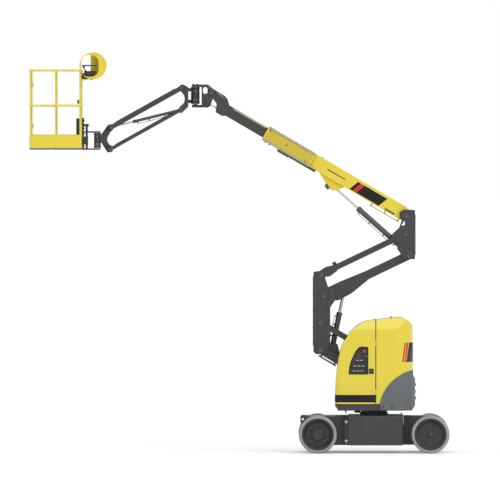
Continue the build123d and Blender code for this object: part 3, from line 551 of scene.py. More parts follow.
def settle(piece, place=HERE):
    """Brings a piece to its place and applies it, so that the object stays at the origin."""
    alone(piece)
    piece.matrix_world = place @ piece.matrix_world
    bpy.ops.object.transform_apply(location=True, rotation=True, scale=True)
    return piece


print("shaping: extrude, resize, pressed, toothed, joined, settle")

# %% Handing over
models = []


def hand_over(piece, name, material, body, smooth=35):
    """Names a finished piece and gives it outward normals, shading, finish and body."""
    piece.name = name
    with editing(piece):
        face_out()
    bpy.ops.object.shade_smooth_by_angle(angle=radians(smooth))
    piece.data.materials.clear()
    piece.data.materials.append(material)
    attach(piece, body)
    return piece


def fit(model, places, name, material, body, smooth=35):
    """Copies a model to each place, joins the copies to one piece and hands it over.

    The model itself is put aside and cleared away at the end.
    """
    if model not in models:
        models.append(model)
    twins = []
    for place in places:
        twin = model.copy()
        twin.data = model.data.copy()
        twin.data.transform(place)
        bpy.context.collection.objects.link(twin)
        twins.append(twin)
    return hand_over(joined(twins), name, material, body, smooth)


def merged_copy(node, name):
    """A copy of a CAD node in a mesh of its own, with its loose triangles joined."""
    piece = bpy.data.objects.new(name, frame["nodes"][node].data.copy())
    bpy.context.collection.objects.link(piece)
    with editing(piece):
        take_all()
        bpy.ops.mesh.remove_doubles(threshold=SAME_POINT)
    return piece


def modified(piece, kind, **settings):
    """Adds a modifier to a piece and applies it."""
    alone(piece)
    bpy.ops.object.modifier_add(type=kind)
    modifier = piece.modifiers[-1]
    for key, value in settings.items():
        setattr(modifier, key, value)
    bpy.ops.object.modifier_apply(modifier=modifier.name)
    return piece


print("finishing: hand_over, fit, merged_copy, modified")

# %% Bars and turned parts
def bar(low, high, edge=2.0):
    """A rectangular bar or plate between two corners in mm, with all its edges rounded."""
    low, high = mm(*map(min, low, high)), mm(*map(max, low, high))
    bpy.ops.mesh.primitive_cube_add(size=1, location=(low + high) / 2, scale=high - low)
    piece = settle(bpy.context.object)
    with editing():
        take_all()
        bpy.ops.mesh.bevel(offset=edge / 1000, segments=2, affect="EDGES")
    return piece


def turned(profile, sides=24):
    """A turned part on Z: a disc extruded and scaled through (radius, height) pairs in mm.

    If the last pair equals the first, the profile is closed and the part is a ring.
    """
    ring = profile[0] == profile[-1]
    draw_out = bpy.ops.mesh.extrude_edges_move if ring else bpy.ops.mesh.extrude_region_move
    radius, height = profile[0]
    bpy.ops.mesh.primitive_circle_add(vertices=sides, radius=radius / 1000, location=mm(0, 0, height),
                                      fill_type="NOTHING" if ring else "NGON")
    piece = settle(bpy.context.object)
    with editing():
        take_all("EDGE" if ring else "FACE")
        for wider, higher in profile[1:]:
            draw_out(TRANSFORM_OT_translate={"value": (0, 0, (higher - height) / 1000)})
            resize(wider / radius, higher / 1000)
            radius, height = wider, higher
        take_all()
        bpy.ops.mesh.remove_doubles(threshold=2 * SAME_POINT)
        face_out()
    return piece


print("forms: bar, turned")

# %% Plates and pipes
def point_line(route):
    """A line of points (mm), each one extruded from the one before, all selected in edit mode."""
    bpy.ops.mesh.primitive_plane_add(size=0.001, location=mm(*route[0]))
    line = settle(bpy.context.object)
    with editing():
        take_all("VERT")
        bpy.ops.mesh.merge(type="CENTER")
        for start, end in zip(route, route[1:]):
            bpy.ops.mesh.extrude_vertices_move(TRANSFORM_OT_translate={"value": mm(*end) - mm(*start)})
        take_all()
    return line


def plate(outline, low, high, edge=1.5):
    """A plate cut to an outline (x, y in mm): a line of points, filled and thickened."""
    piece = point_line([(x, y, low) for x, y in outline])
    with editing():
        bpy.ops.mesh.edge_face_add()
        extrude(0, 0, high - low)
        face_out()
        if edge:
            pick(lambda middle, run: abs(run.z) < 0.5, "EDGE")
            bpy.ops.mesh.bevel(offset=edge / 1000, segments=1, affect="EDGES")
    return piece


def frame_strip(outline, wide, low, high):
    """A flat strip round an outline: a plate with its inside pulled in, taken out and closed."""
    strip = plate(outline, low, high, edge=0)
    with editing():
        pick(lambda middle, normal: abs(normal.z) > 0.9)
        bpy.ops.mesh.inset(thickness=wide / 1000, depth=0)
        bpy.ops.mesh.delete(type="FACE")
        bpy.ops.mesh.select_mode(type="EDGE")
        bpy.ops.mesh.select_all(action="DESELECT")
        bpy.ops.mesh.select_non_manifold()
        bpy.ops.mesh.bridge_edge_loops()
    return strip


def pipe(route, radius, bend=0):
    """A bent steel pipe: a line of points with rounded corners, given a round section."""
    line = point_line(route)
    if bend:
        with editing():
            bpy.ops.mesh.bevel(offset=bend / 1000, segments=5, affect="VERTICES")
    bpy.ops.object.convert(target="CURVE")
    line.data.bevel_depth = radius / 1000
    line.data.bevel_resolution = 3
    line.data.use_fill_caps = True
    bpy.ops.object.convert(target="MESH")
    return bpy.context.object


print("forms: plate, frame_strip, pipe")

# %% [markdown]
# ## Bolts and nuts
# Hexagon bolts hold covers and actuators everywhere on such a machine. One is modelled with its
# washer, a chamfered head and a dished top, and is then copied at each size that is needed.

# %% Hexagon bolt and nut
CORNER = 1 / cos(pi / 6)      # a hexagon's size across corners, for 1 across flats


def hex_bolt(across):
    """A hexagon head with a washer under it, by its size across the flats in mm."""
    tall, radius = across * 0.62, across / 2 * CORNER
    head = turned([(radius, 2.0), (radius, tall - across * 0.06), (radius * 0.9, tall),
                   (radius * 0.55, tall), (radius * 0.5, tall - 1.0)], sides=6)
    washer = turned([(across * 0.86, 0.0), (across * 0.86, 1.6), (across * 0.82, 2.2)], sides=20)
    return joined((washer, head))


def hex_nut(across, height, stud):
    """A hexagon nut with the end of its stud standing out of it."""
    radius = across / 2 * CORNER
    return turned([(radius * 0.92, 0.0), (radius, 1.5), (radius, height - 2.0), (radius * 0.9, height),
                   (stud * 1.12, height), (stud, height - 1.5), (stud, height + 5.0),
                   (stud * 0.8, height + 7.0)], sides=6)


bolt_19, bolt_24, bolt_13 = hex_bolt(19), hex_bolt(24), hex_bolt(13)
print("bolts:", [len(model.data.polygons) for model in (bolt_19, bolt_24, bolt_13)], "faces")

# %% [markdown]
# ## Tyres
# The wheels carry solid non-marking tyres: a pale rubber band with short blocks on both
# shoulders, pressed on a steel base. A tyre is turned from its section, and then every second
# face of each shoulder is raised to a block. Raising them leaves clean grooves between, which
# would be harder to get by cutting.

# %% Turned tyre with raised blocks
TREAD_PITCH = 72              # faces round the tyre, two for each block
TYRE_RADIUS, BLOCK_HEIGHT = 268.0, 11.0
MIDDLE_BAND = 0.024           # half the width of the band that is raised all round
TYRE_HALF = [(226.0, 84.0), (237.0, 85.5), (241.0, 88.0), (250.0, 88.5), (252.0, 86.5), (256.0, 86.5),
             (258.0, 88.0), (263.0, 86.0), (267.0, 78.0), (TYRE_RADIUS, 56.0), (TYRE_RADIUS, 24.0)]


def in_block(middle, normal):
    """Whether a face of the tyre belongs to the middle band or to a shoulder block."""
    if hypot(middle.x, middle.y) < TYRE_RADIUS / 1000 - 0.0015:
        return False
    return abs(middle.z) < MIDDLE_BAND or (face_index(middle, TREAD_PITCH) + (middle.z > 0)) % 2 == 0


section = [(r, -z) for r, z in TYRE_HALF] + TYRE_HALF[::-1] + [(TYRE_HALF[0][0], -TYRE_HALF[0][1])]
tyre = toothed(turned(section, TREAD_PITCH), in_block, (TYRE_RADIUS + BLOCK_HEIGHT) / TYRE_RADIUS)
wheels = {}                   # (kind, side): (body, place), with the axle outward on Z
for kind, (side_name, side) in product(("drive", "steer"), SIDES[::-1]):
    node, body = f"{kind}_tyre_{side_name}", f"{kind}_wheel_{side_name}"
    low, high = (Vector(corner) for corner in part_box(node))
    wheels[kind, side_name] = body, at((low + high) / 2, (0, side, 0))
    piece = fit(tyre, [wheels[kind, side_name][1]], f"{kind}_solid_tyre_{side_name}", tyre_rubber, body,
                28)
    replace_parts(piece, node)
print("tyre:", len(tyre.data.polygons), "faces each, on", len(wheels), "wheels")

# %% [markdown]
# ## Rims
# A pressed dish joins each rim to its hub, and a rolled flange stands out beside the tyre. The
# driven wheels have a ring of nuts round a gearbox cover, the steered ones a small grease cap.

# %% Flanges, dishes, nuts and caps
rim_flange = turned([(214, 80), (214, 86.8), (217, 88.6), (233, 88.6), (237, 86.4), (237, 80), (226, 79),
                     (214, 80)], 64)
dish = turned([(212, 74), (205, 70), (176, 30.5), (168, 28.5), (168, 26), (178, 26), (212, 66),
               (212, 74)], 56)
HUBS = {   # kind: (nut, places of the nuts, hub cover)
    "drive": (hex_nut(32, 24, 9), circle_of(8, 132, 56),
              turned([(80, 77), (80, 80), (76, 82.5), (60, 83), (56, 80.5), (34, 80.5), (31, 84), (22, 85.5),
                      (19, 83.5)], 40)),
    "steer": (hex_nut(27, 20, 8), circle_of(6, 125, 56),
              turned([(42, 64), (42, 70), (38, 73), (30, 78), (16, 80.5), (6, 81)], 32)),
}
cover_screw = hex_bolt(10)
for (kind, side_name), (body, wheel) in wheels.items():
    nut, nut_places, hub = HUBS[kind]
    fittings = [("rim_flanges", rim_flange, [HERE, spin(pi, "X")], rim_enamel),
                ("rim_dish", dish, [HERE], rim_enamel), ("wheel_nuts", nut, nut_places, dark_zinc),
                ("hub_cover", hub, [HERE], rim_enamel)]
    if kind == "drive":
        fittings.append(("cover_screws", cover_screw, circle_of(10, 68, 80.5, 0.5), dark_zinc))
    for name, model, places, material in fittings:
        fit(model, [wheel @ place for place in places], f"{kind}_{side_name}_{name}", material, body)
print("rims:", [body for body, _ in wheels.values()])

# %% [markdown]
# ## Films on painted skins
# Coloured bands on such a machine are cut vinyl, wrapped over the finished paint. A film has
# exactly the shape of what it lies on, so it is peeled off the skin: the skin is copied, cut by
# planes, and what is left is lifted by the thickness of a film. The names that such bands often
# carry are left off, and only plain colour and stripes remain.

# %% Peeling a film
FILM_LIFT = 0.0009        # a real film is 0.1 mm; thicker here, so that it can't sink in the skin


def peel(node, cuts, keep):
    """Copies a node's skin, keeps the side of each (point, normal) cut that the normal points
    to, then the faces whose middle and normal pass the test, and lifts them."""
    film = merged_copy(node, "film")
    with editing():
        for point, normal in cuts:
            take_all()
            bpy.ops.mesh.bisect(plane_co=point, plane_no=normal, clear_inner=True, clear_outer=False)
        pick(lambda middle, normal: not keep(middle, normal))
        bpy.ops.mesh.delete(type="FACE")
    return modified(film, "SOLIDIFY", thickness=FILM_LIFT, offset=1.0)


def between(low, high):
    """Two cuts that keep what lies between two heights in mm."""
    return [(mm(0, 0, low), UP), (mm(0, 0, high), -UP)]


print("films are lifted by", FILM_LIFT * 1000, "mm")

# %% [markdown]
# ## Hood: bands, window, latch
# Both covers carry a wide black band at the foot. The near cover has a rubber-edged window over
# the ground controls, and each has a folding latch beside the seam. On the tail, two red stripes
# lean before a black panel.

# %% Bands and stripes
STRIPE_FOOT = mm(406, 0, 1340)
STRIPE_RUN = Vector((cos(radians(8.2)), 0, -sin(radians(8.2))))      # square to the leaning stripes
for side_name, side in SIDES:
    outward = Vector((-1, side, 0)).normalized()
    band = peel(f"door_{side_name}", between(750, 860), lambda m, n: n.dot(outward) > 0.3 and abs(n.z) < 0.5)
    hand_over(band, f"{side_name}_door_foot_band", black_film, f"hood_door_{side_name}")
    for name, start, end, film in (("first", 0, 22, red_film), ("second", 31, 58, red_film),
                                   ("panel", 66, 400, black_film)):
        cuts = between(1340, 1625) + [(STRIPE_FOOT + STRIPE_RUN * start / 1000, STRIPE_RUN),
                                      (STRIPE_FOOT + STRIPE_RUN * end / 1000, -STRIPE_RUN)]
        stripe = peel("rear_hood", cuts, lambda m, n: (n.y * side > 0.25 or (n.x > 0.3 and abs(m.y) > 0.3))
                      and m.y * side > 0.2 and n.z < 0.5)
        hand_over(stripe, f"{side_name}_tail_{name}_stripe", film, "turntable")
print("bands: 2, tail stripes: 6")

# %% Window seal
WINDOW_WALL = -580
SEAL_OUTLINE = [(-376, 1160), (-366, 1262), (-347, 1345), (-329, 1388), (-298, 1454), (-266, 1514),
                (-230, 1549), (-188, 1563), (-146, 1567), (-101, 1564), (-87, 1550), (-87, 1160)]

seal = settle(frame_strip(SEAL_OUTLINE, 9, -4, 3.5), shift(0, WINDOW_WALL, 0) @ STAND_UP)
hand_over(seal, "window_seal", boot_rubber, "hood_door_right")
print("seal:", len(SEAL_OUTLINE), "points, on the wall at y", WINDOW_WALL)

# %% Latches and seam seals
LATCH = (-42, 577, 1208)      # middle of a latch, on the left side
LATCH_PARTS = (("dish", 35, 38, 588, 9, 4, black_plastic), ("paddle", 22, 22, 587, 5, 1, dark_zinc))
for (side_name, side), (name, half_x, half_z, face, edge, sink, material) in product(SIDES, LATCH_PARTS):
    x, wall, z = LATCH
    latch = bar((x - half_x, side * wall, z - half_z), (x + half_x, side * face, z + half_z))
    hand_over(pressed(latch, (0, side, 0), (edge, 0), sink=sink), f"{side_name}_latch_{name}", material,
              f"hood_door_{side_name}")
lip = plate([(581, 728), (581, 1822), (520, 1953.2), (172, 1953.2), (172, 1944.5), (513.5, 1944.5),
             (573, 1819.5), (573, 728)], 17.4, 30, 0)
fit(lip, [FACE_ON, MIRROR_Y @ FACE_ON], "hood_seam_seals", boot_rubber, "turntable")
print("latches and seam seals: 2 of each")

# %% [markdown]
# ## Ground controls
# Behind the window sits the ground panel. An engraved plate carries a red stop button with its
# mushroom head, a key switch, rocker switches in two rows, their legend plates, lamps and a
# round hour meter.

# %% Ground panel fittings
PANEL_FACE = -551
STOP, KEY, METER = [(-140, 1500)], [(-120, 1420)], [(-215, 1430)]
ROCKERS = [(-300, 1250), (-250, 1250), (-200, 1250), (-150, 1250), (-250, 1330), (-200, 1330), (-150, 1330)]
LEGENDS = [(-285, 1284), (-225, 1284), (-165, 1284), (-245, 1366), (-188, 1366), (-300, 1212), (-240, 1212),
           (-180, 1212)]
dial_plate = bar((-376, PANEL_FACE, 1156), (-84, PANEL_FACE + 3, 1584), 1)
hand_over(pressed(dial_plate, (0, -1, 0), (8, 0.8)), "ground_panel_plate", chain_nylon, "turntable")
rocker = pressed(bar((-11, -17, 0), (11, 17, 7)), UP, (2, 0))
with editing():
    bpy.ops.transform.translate(value=(0, 0, 0.003))
    pick(lambda m, n: m.y > 0.012 and n.z > 0.3)
    bpy.ops.transform.translate(value=(0, 0, 0.003))
legend = bar((-21, -6, 0), (21, 6, 1.6), 0.5)
lamp_cap = turned([(7, 0), (7, 3), (5.5, 6), (3, 7)], 20)
for name, model, places, material in (
        ("ground_stop_button", turned([(14, 0), (14, 8), (20, 10), (20, 14), (17, 17.5), (10, 19)], 28), STOP,
         red_plastic),
        ("ground_stop_collar", turned([(24, 0), (24, 3), (20, 4)], 28), STOP, beige_nylon_and_highlight),
        ("ground_rockers", rocker, ROCKERS, black_plastic),
        ("ground_legend_plates", legend, LEGENDS, zinc_plate),
        ("hour_meter_bezel", turned([(26, 0), (26, 6), (23, 8), (20, 8), (19, 5)], 32), METER, dark_zinc),
        ("hour_meter_glass", turned([(19, 4), (19, 5.5), (12, 6.2)], 32), METER, clear_lens),
        ("ground_key_switch", turned([(10, 0), (10, 6), (8, 8), (8, 10)], 24), KEY, zinc_plate),
        ("ground_key", bar((-2, -9, 8), (2, 9, 22), 1), KEY, zinc_plate),
        ("ground_lamps", lamp_cap, [(-290, 1385), (-262, 1385)], green_plastic),
        ("ground_warning_lamps", lamp_cap, [(-262, 1470), (-238, 1470)], red_plastic)):
    fit(model, [at(mm(x, PANEL_FACE, z), (0, -1, 0)) for x, z in places], name, material, "turntable")
print("ground controls: stop button, key, hour meter, rockers, legends and lamps")

# %% [markdown]
# ## Roof knob, tail bumper and battery caps
# A small lifting knob stands on the roof. The cast tail weight is bolted on from behind and has
# a rubber strip against knocks. Under the covers, each battery pack is a block of cells with
# lids and caps; it shows as soon as a cover is opened.

# %% Roof knob and tail
knob = turned([(11, 0), (11, 4), (6, 7), (5, 12), (9, 15), (9, 19), (6, 22)], 24)
for side_name, y in (("left", -380), ("right", 380)):
    fit(knob, [at(mm(254, y, 1976), UP)], f"{side_name}_roof_knob", dark_zinc, "turntable")
strip = bar((-210, 0, -22), (210, 11, 22), 5)
hand_over(settle(strip, shift(601, 0, 900) @ spin(-pi / 2)), "tail_bumper_strip", boot_rubber, "turntable")
tail_bolts = crossings((1, 0, 0), (603,), (-240, 240), (800, 1000))
fit(bolt_24, tail_bolts, "tail_weight_bolts", dark_zinc, "turntable")
print("tail:", len(tail_bolts), "bolts")

# %% Battery lids and caps
battery_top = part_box("battery_packs")[1][2] * 1000
lids = [shift(x, side * y, battery_top) for side, x, y in product((-1, 1), (-353, -117), (272, 438))]
lid = pressed(bar((-112, -76, 0), (112, 76, 14), 4), UP, (20, -3))
vent = turned([(14, 11), (14, 17), (11, 20), (6, 21)], 20)
post = turned([(9, 11), (8, 26), (6, 27)], 16)
for name, model, spots, material in (("lids", lid, [(0, 0)], battery_case),
                                     ("vent_caps", vent, [(-60, 0), (0, 0), (60, 0)], red_plastic),
                                     ("posts", post, [(-86, 50), (86, 50)], beige_nylon_and_highlight)):
    fit(model, [base @ shift(x, y, 0) for base in lids for x, y in spots], f"battery_{name}", material,
        "turntable")
print("batteries:", len(lids), "lids")

# %% [markdown]
# ## Arms: pins, films and weld beads
# Each arm hangs on steel pins. A pin's head has a keeper plate beside it, held by a bolt, so
# that the pin can't turn or creep out. On the boom's sides lie a black panel with two red
# stripes at its front, a doubler plate over the cylinder lug and a long slot cover.

# %% Pin heads and keepers
PINS = {   # name: (body, X, Z, radius of the head, outer face, turn of the keeper)
    "arm_foot": ("turntable", 405, 800, 42, 156, 0.6), "arm_tie_foot": ("turntable", 398, 1200, 37, 156, 2.4),
    "arm_head": ("riser", -778, 1511, 42, 153, 1.2), "arm_tie_head": ("riser", -785, 1911, 37, 153, -1.2),
    "upper_foot": ("riser", -726, 2306, 42, 153, 2.6), "upper_tie_foot": ("riser", -770, 2618, 37, 153, -2.4),
    "upper_head": ("riser_head", 517, 2901, 42, 153, 0.8),
    "upper_tie_head": ("riser_head", 473, 3213, 37, 153, -0.5),
    "boom_foot": ("riser_head", 487, 3482, 42, 153, -1.9), "fork_pivot": ("fork", -2387, 5291, 37, 94, 1.9),
    "jib_top_foot": ("jib_base", -2828, 5357, 30, 99, 1.6),
    "jib_low_foot": ("jib_base", -2836, 5036, 30, 99, 1.4),
    "jib_top_head": ("jib_end", -3857, 4781, 30, 99, 2.6),
    "jib_low_head": ("jib_end", -3865, 4460, 30, 99, -2.2),
}
SMALL_PIN = 30            # pins this small are held from inside and show no keeper
KEEPER_REACH = 16         # from the rim of the head to the middle of the keeper


def pin_cap(radius):
    """The turned face of a pin head: a chamfered rim, a shallow dish and a grease nipple."""
    return turned([(radius + 0.5, -3), (radius + 0.5, 2), (radius - 2, 4.5), (radius * 0.6, 4.5),
                   (radius * 0.52, 3), (6, 3), (6, 6), (4, 7.5), (3, 11), (1.5, 12)], 32)


caps = {radius: pin_cap(radius) for radius in (SMALL_PIN, 37, 42)}
keeper = plate([(-13, -24), (13, -24), (17, -16), (17, 16), (13, 24), (-13, 24), (-17, 16), (-17, -16)],
               0, 6, 1)
for name, (body, x, z, radius, face, turn) in PINS.items():
    fit(caps[radius], on_sides(face, [(x, z)]), f"{name}_pin_caps", cylinder_enamel, body)
    if radius > SMALL_PIN:
        reach = radius + KEEPER_REACH
        seats = [at(mm(x + reach * cos(turn), side * (face - 8), z + reach * sin(turn)), (0, side, 0),
                    turn * side + (0 if side < 0 else pi)) for _, side in SIDES]
        fit(keeper, seats, f"{name}_keepers", dark_zinc, body)
        fit(bolt_13, [seat @ shift(3, 0, 6) for seat in seats], f"{name}_keeper_bolts", dark_zinc, body)
print("pins:", len(PINS))

# %% Boom panel and stripes
BOOM_PIVOT, BOOM_RISE = (487, 3482), radians(30.3)
boom_frame = along(BOOM_PIVOT, (BOOM_PIVOT[0] - 1000 * cos(BOOM_RISE), BOOM_PIVOT[1] + 1000 * sin(BOOM_RISE)))
boom_axes = boom_frame.to_3x3()
both_sides = [boom_frame, boom_frame @ MIRROR_Z]
LEAN = Vector((1.0, 0.38, 0)).normalized()
PANEL_FOOT, PANEL_TOP = -88, 66
BOOM_FILMS = (("panel", 400, 782, black_film), ("lower_stripe", 782, 811, red_film),
              ("split", 811, 817, black_film), ("upper_stripe", 817, 846, red_film),
              ("tip", 846, 896, black_film))


def boom_cut(distance, sign):
    """A leaning cut across the boom at a distance (mm) from its pivot, measured at mid height."""
    return boom_frame @ mm(distance, 0, 0), boom_axes @ LEAN * sign


def boom_level(height, sign):
    """A cut along the boom at a height (mm) above its centre line."""
    return boom_frame @ mm(0, height, 0), boom_axes @ Vector((0, sign, 0))


for (side_name, side), (name, start, end, film) in product(SIDES, BOOM_FILMS):
    cuts = [boom_level(PANEL_FOOT, 1), boom_level(PANEL_TOP, -1), boom_cut(start, 1), boom_cut(end, -1)]
    stripe = peel("main_boom", cuts, lambda m, n: n.y * side > 0.9 and m.y * side > 0.08)
    hand_over(stripe, f"boom_{side_name}_{name}", film, "boom")
print("boom films:", 2 * len(BOOM_FILMS))

# %% Doubler plates and slot covers
for name, model, material in (
        ("lug_doublers", plate([(950, 20), (1028, -102), (1436, -102), (1390, -30), (1010, 20)], 84.5, 88, 1),
         yellow_enamel),
        ("slot_covers", bar((1044, -8, 86), (1354, 6, 90), 1.5), dark_zinc),
        ("side_clips", bar((172, -88, 84), (335, -66, 91)), dark_zinc),
        ("lug_hose_brackets", plate([(1188, -222), (1256, -186), (1270, -214), (1258, -242), (1200, -262)],
                                    46, 60, 2), dark_zinc)):
    fit(model, both_sides, f"boom_{name}", material, "boom")
rail_strip = bar((62, -150, 64), (548, -138, 80))
hand_over(settle(rail_strip, boom_frame), "boom_rear_hose_rail_cover", black_plastic, "boom")
print("doublers, slot covers, clips and brackets: 2 of each")

# %% [markdown]
# ## Boom mouth and hose tray
# At the boom's mouth, bolted nylon pads guide the inner section, and each pad shows as a row of
# bolt heads. Beside the mouth, the tray carries hoses in a folded steel channel. Its rim is
# stiffened by rolled lips, the long ones beige as painted highlight, and its near face is a darker
# yellow as painted shade. The chain that carries the hoses runs below it.

# %% Pad bolts and mouth frame
WALL_BOLT = 104.5         # height of the bolt seats on the boom's top and underside
pad_bolts = []
for x in (2330, 2375):
    for z, side in product((-45, 45), (1, -1)):
        pad_bolts.append(boom_frame @ at(mm(x, side * WALL_BOLT, z), (0, side, 0)))
    pad_bolts += [boom_frame @ place for place in crossings((0, 0, 1), (x,), (-38, 38), (85,))]
fit(bolt_19, pad_bolts, "boom_pad_bolts", dark_zinc, "boom")
mouth = frame_strip([(-108, -89), (108, -89), (108, 89), (-108, 89)], 10, 0, 14)
hand_over(settle(mouth, boom_frame @ shift(2396, 0, 0) @ FACE_ON), "boom_mouth_collar", yellow_enamel, "boom")
top_bolts = [boom_frame @ place for place in crossings((0, 1, 0), (1500, 1950), (WALL_BOLT,), (-50, 50))]
fit(bolt_19, top_bolts, "boom_top_bolts", dark_zinc, "boom")
print("mouth:", len(pad_bolts), "pad bolts")

# %% Tray lips and lines
TRAY_OUT = -129           # outer face of the tray
TRAY_START, TRAY_END = 1612, 2408


def on_boom(bars, name, material, body="boom"):
    """Joins bars or pipes that were made in the boom's own frame, and lays them on it."""
    return hand_over(settle(joined(bars), boom_frame), name, material, body)


# The near outer face gets a film of the darker yellow enamel: painted shade for the recessed face.
inner_face = peel("hose_tray", [boom_level(-96, 1), boom_level(92, -1)],
                  lambda m, n: n.y < -0.9 and m.y < -0.12)
hand_over(inner_face, "tray_panel", shaded_enamel, "boom")
# The long lips are beige: painted highlight for the light along the tray's top and bottom edges.
on_boom([bar((TRAY_START, low, TRAY_OUT - 9), (TRAY_END, high, TRAY_OUT + 2), 3)
         for low, high in ((-113, -80), (80, 113))], "tray_rolled_lips", beige_nylon_and_highlight)
on_boom([bar((low, -111, TRAY_OUT - 8), (high, 111, TRAY_OUT + 2), 3)
         for low, high in ((TRAY_START, 1632), (2384, TRAY_END))], "tray_end_lips", yellow_enamel)
tray_bolts = [boom_frame @ at(mm(x, y, TRAY_OUT), (0, 0, -1))
              for x, y in ((2360, 66), (1700, -66), (2050, 0))]
fit(bolt_13, tray_bolts, "tray_bolts", dark_zinc, "boom")
on_boom([pipe([(TRAY_START + 4, height, -96), (TRAY_END - 4, height, -96)], 9)
         for height in (-40, -14, 12, 38)],
        "tray_hydraulic_lines", boot_rubber)
print("tray: panel, lips,", len(tray_bolts), "bolts and 4 lines")

# %% Hose chain
LINK_PITCH, LINK_PAIRS = 33, 14
link_side = plate([(0, -17), (26, -17), (31, -11), (31, 11), (26, 17), (0, 17), (-5, 11), (-5, -11)], 0, 3, 1)
chain_link = joined((link_side, turned([(6, 3), (6, 5), (4, 6)], 14)))
links = [boom_frame @ shift(1500 + index * LINK_PITCH, -122, z) @ spin(turn, "X")
         for index in range(LINK_PAIRS) for z, turn in ((-120, pi), (-84, 0))]
fit(chain_link, links, "energy_chain_links", chain_nylon, "boom")
on_boom([bar((1496, -136, -120), (1950, -110, -84), 3)], "energy_chain_core", chain_nylon)
shroud = plate([(1930, -112), (1944, -150), (2120, -150), (2134, -138), (2134, -112)], -125.5, -74, 2)
with editing():
    pick(lambda middle, normal: abs(normal.z) > 0.9)
    bpy.ops.mesh.inset(thickness=0.006, depth=-0.002)
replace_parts(on_boom([shroud], "energy_chain_shroud", olive_enamel), "energy_chain")
on_boom([bar((low, -128, -116), (low + 26, -104, -90), 3) for low in (2262, 2330)], "tray_hose_clamps",
        dark_zinc)
print("chain:", len(links), "links")

# %% Fly boom: painted highlight strips and head bolts
# Beige strips along the fly's top and upper corners are painted highlight: they stand for the light that its
# rounded top edges catch.
strips = [bar((2440, 78.5, z - 7), (3030, 82, z + 7), 1.5) for z in (-55, 55)]
strips += [bar((2440, 57, low), (2996, 81, high), 1) for low, high in ((-66.5, -63), (63, 66.5))]
on_boom(strips, "fly_highlight_strips", beige_nylon_and_highlight, "fly")
HEAD_FACE = 64
head_bolts = [boom_frame @ at(mm(x, y, side * HEAD_FACE), (0, 0, side)) for _, side in SIDES
              for x, y in ((3120, 60), (3165, 100), (3240, 130), (3330, 140), (3110, -60), (3165, -70),
                           (3400, 128))]
fit(bolt_19, head_bolts, "fly_head_bolts", dark_zinc, "fly")
strips = [plate([(3205, 128), (3300, 146), (3300, 156), (3205, 138)], side * HEAD_FACE,
                side * (HEAD_FACE + 3), 0) for _, side in SIDES]
on_boom(strips, "fly_head_cover_strips", zinc_plate, "fly")
print("fly head:", len(head_bolts), "bolts")

# %% [markdown]
# ## Weld beads
# The plates of the arms are joined by fillet welds, which show as raised seams of small ripples
# under the paint. A bead is a slim rod with rings squeezed along it, laid half into the corner.

# %% Rippled bead
BEAD_SIZE, RIPPLE, SQUEEZE = 4.0, 9.0, 0.78


def weld_bead(start, end):
    """A bead between two points in mm: a rod, divided along its run, every second ring squeezed."""
    start, end = mm(*start), mm(*end)
    run = end - start
    count = max(4, int(run.length * 1000 / RIPPLE))
    bpy.ops.mesh.primitive_cylinder_add(vertices=6, radius=BEAD_SIZE / 1000, depth=run.length)
    bead = bpy.context.object
    step = run.length / count
    with editing():
        pick(lambda middle, direction: abs(direction.z) > 0.9, "EDGE")
        bpy.ops.mesh.subdivide(number_cuts=count - 1)
        for index in range(1, count, 2):
            level = index * step - run.length / 2
            pick(lambda middle, direction: abs(middle.z - level) < step * 0.1 and abs(direction.z) < 0.1,
                 "EDGE")
            resize(SQUEEZE, level)
    return settle(bead, at((start + end) / 2, run))


lower_frame = along((405, 800), (-778, 1511))
upper_frame = along((-726, 2306), (517, 2901))
BEADS = {   # name: (frame, body, finish, runs on one side, mirrored to the other)
    "lug": (boom_frame, "boom", yellow_enamel, [((1004, -104, 50), (1090, -104, 50)),
                                                ((1100, -104, 50), (1430, -104, 50))]),
    "fly_head": (boom_frame, "fly", grey_enamel, [((3004, -66, 64), (3004, 56, 64)),
                                                  ((3010, 62, 64), (3060, 74, 64))]),
    "lower_arm": (lower_frame, "lower_arm", grey_enamel, [((1100, -60, 66), (1306, -60, 66)),
                                                          ((80, 57, 96), (1110, 57, 96)),
                                                          ((80, -57, 96), (1300, -57, 96))]),
    "upper_arm": (upper_frame, "upper_arm", grey_enamel, [((180, 58, 64), (345, 58, 64)),
                                                          ((410, -57, 96), (1300, -57, 96)),
                                                          ((70, 57, 96), (1300, 57, 96))]),
    "tower": (STAND_UP, "turntable", grey_enamel, [((180, 646, 148), (550, 646, 148)),
                                                   ((541, 646, 128), (541, 925, 128))]),
    "riser": (STAND_UP, "riser", grey_enamel, [((-874, 1505, 130), (-874, 2640, 130))]),
    "riser_head": (STAND_UP, "riser_head", grey_enamel, [((590, 2855, 130), (590, 3550, 130))]),
}
for name, (place, body, material, runs) in BEADS.items():
    beads = joined([weld_bead(start, end) for start, end in runs])
    fit(beads, [place, place @ MIRROR_Z], f"{name}_weld_beads", material, body, 60)

# %% [markdown]
# ## Cylinders
# A hydraulic cylinder shows more than a tube and a rod: its gland nut has flats for a hook
# spanner, a wiper seals the rod, the foot is welded on, and a bent steel pipe with nuts at both
# ends feeds the far side. The pipe is clamped to the barrel, so it rides on the same body.

# %% Gland, wiper, ports and feed pipe
CYLINDERS = {   # name: (foot, eye, barrel radius, rod radius, barrel end, side of the pipe, half the eye)
    "riser": ((-619, 1500), (-447, 2329), 40, 24, 560, 1, 38),
    "boom": ((391, 3030), (-587, 3901), 40, 15, 833, -1, 32),
    "level": ((-1983, 4920), (-2453, 5129), 27, 13, 367, -1, 26),
    "jib": ((-2836, 5036), (-3857, 4781), 21, 11, 716, -1, 20),
}
TUCKED = {"level": 14}        # closes fully, so its gland sits back from the barrel's end
PIPE_GAP = 22                 # from the barrel to the middle of its feed pipe


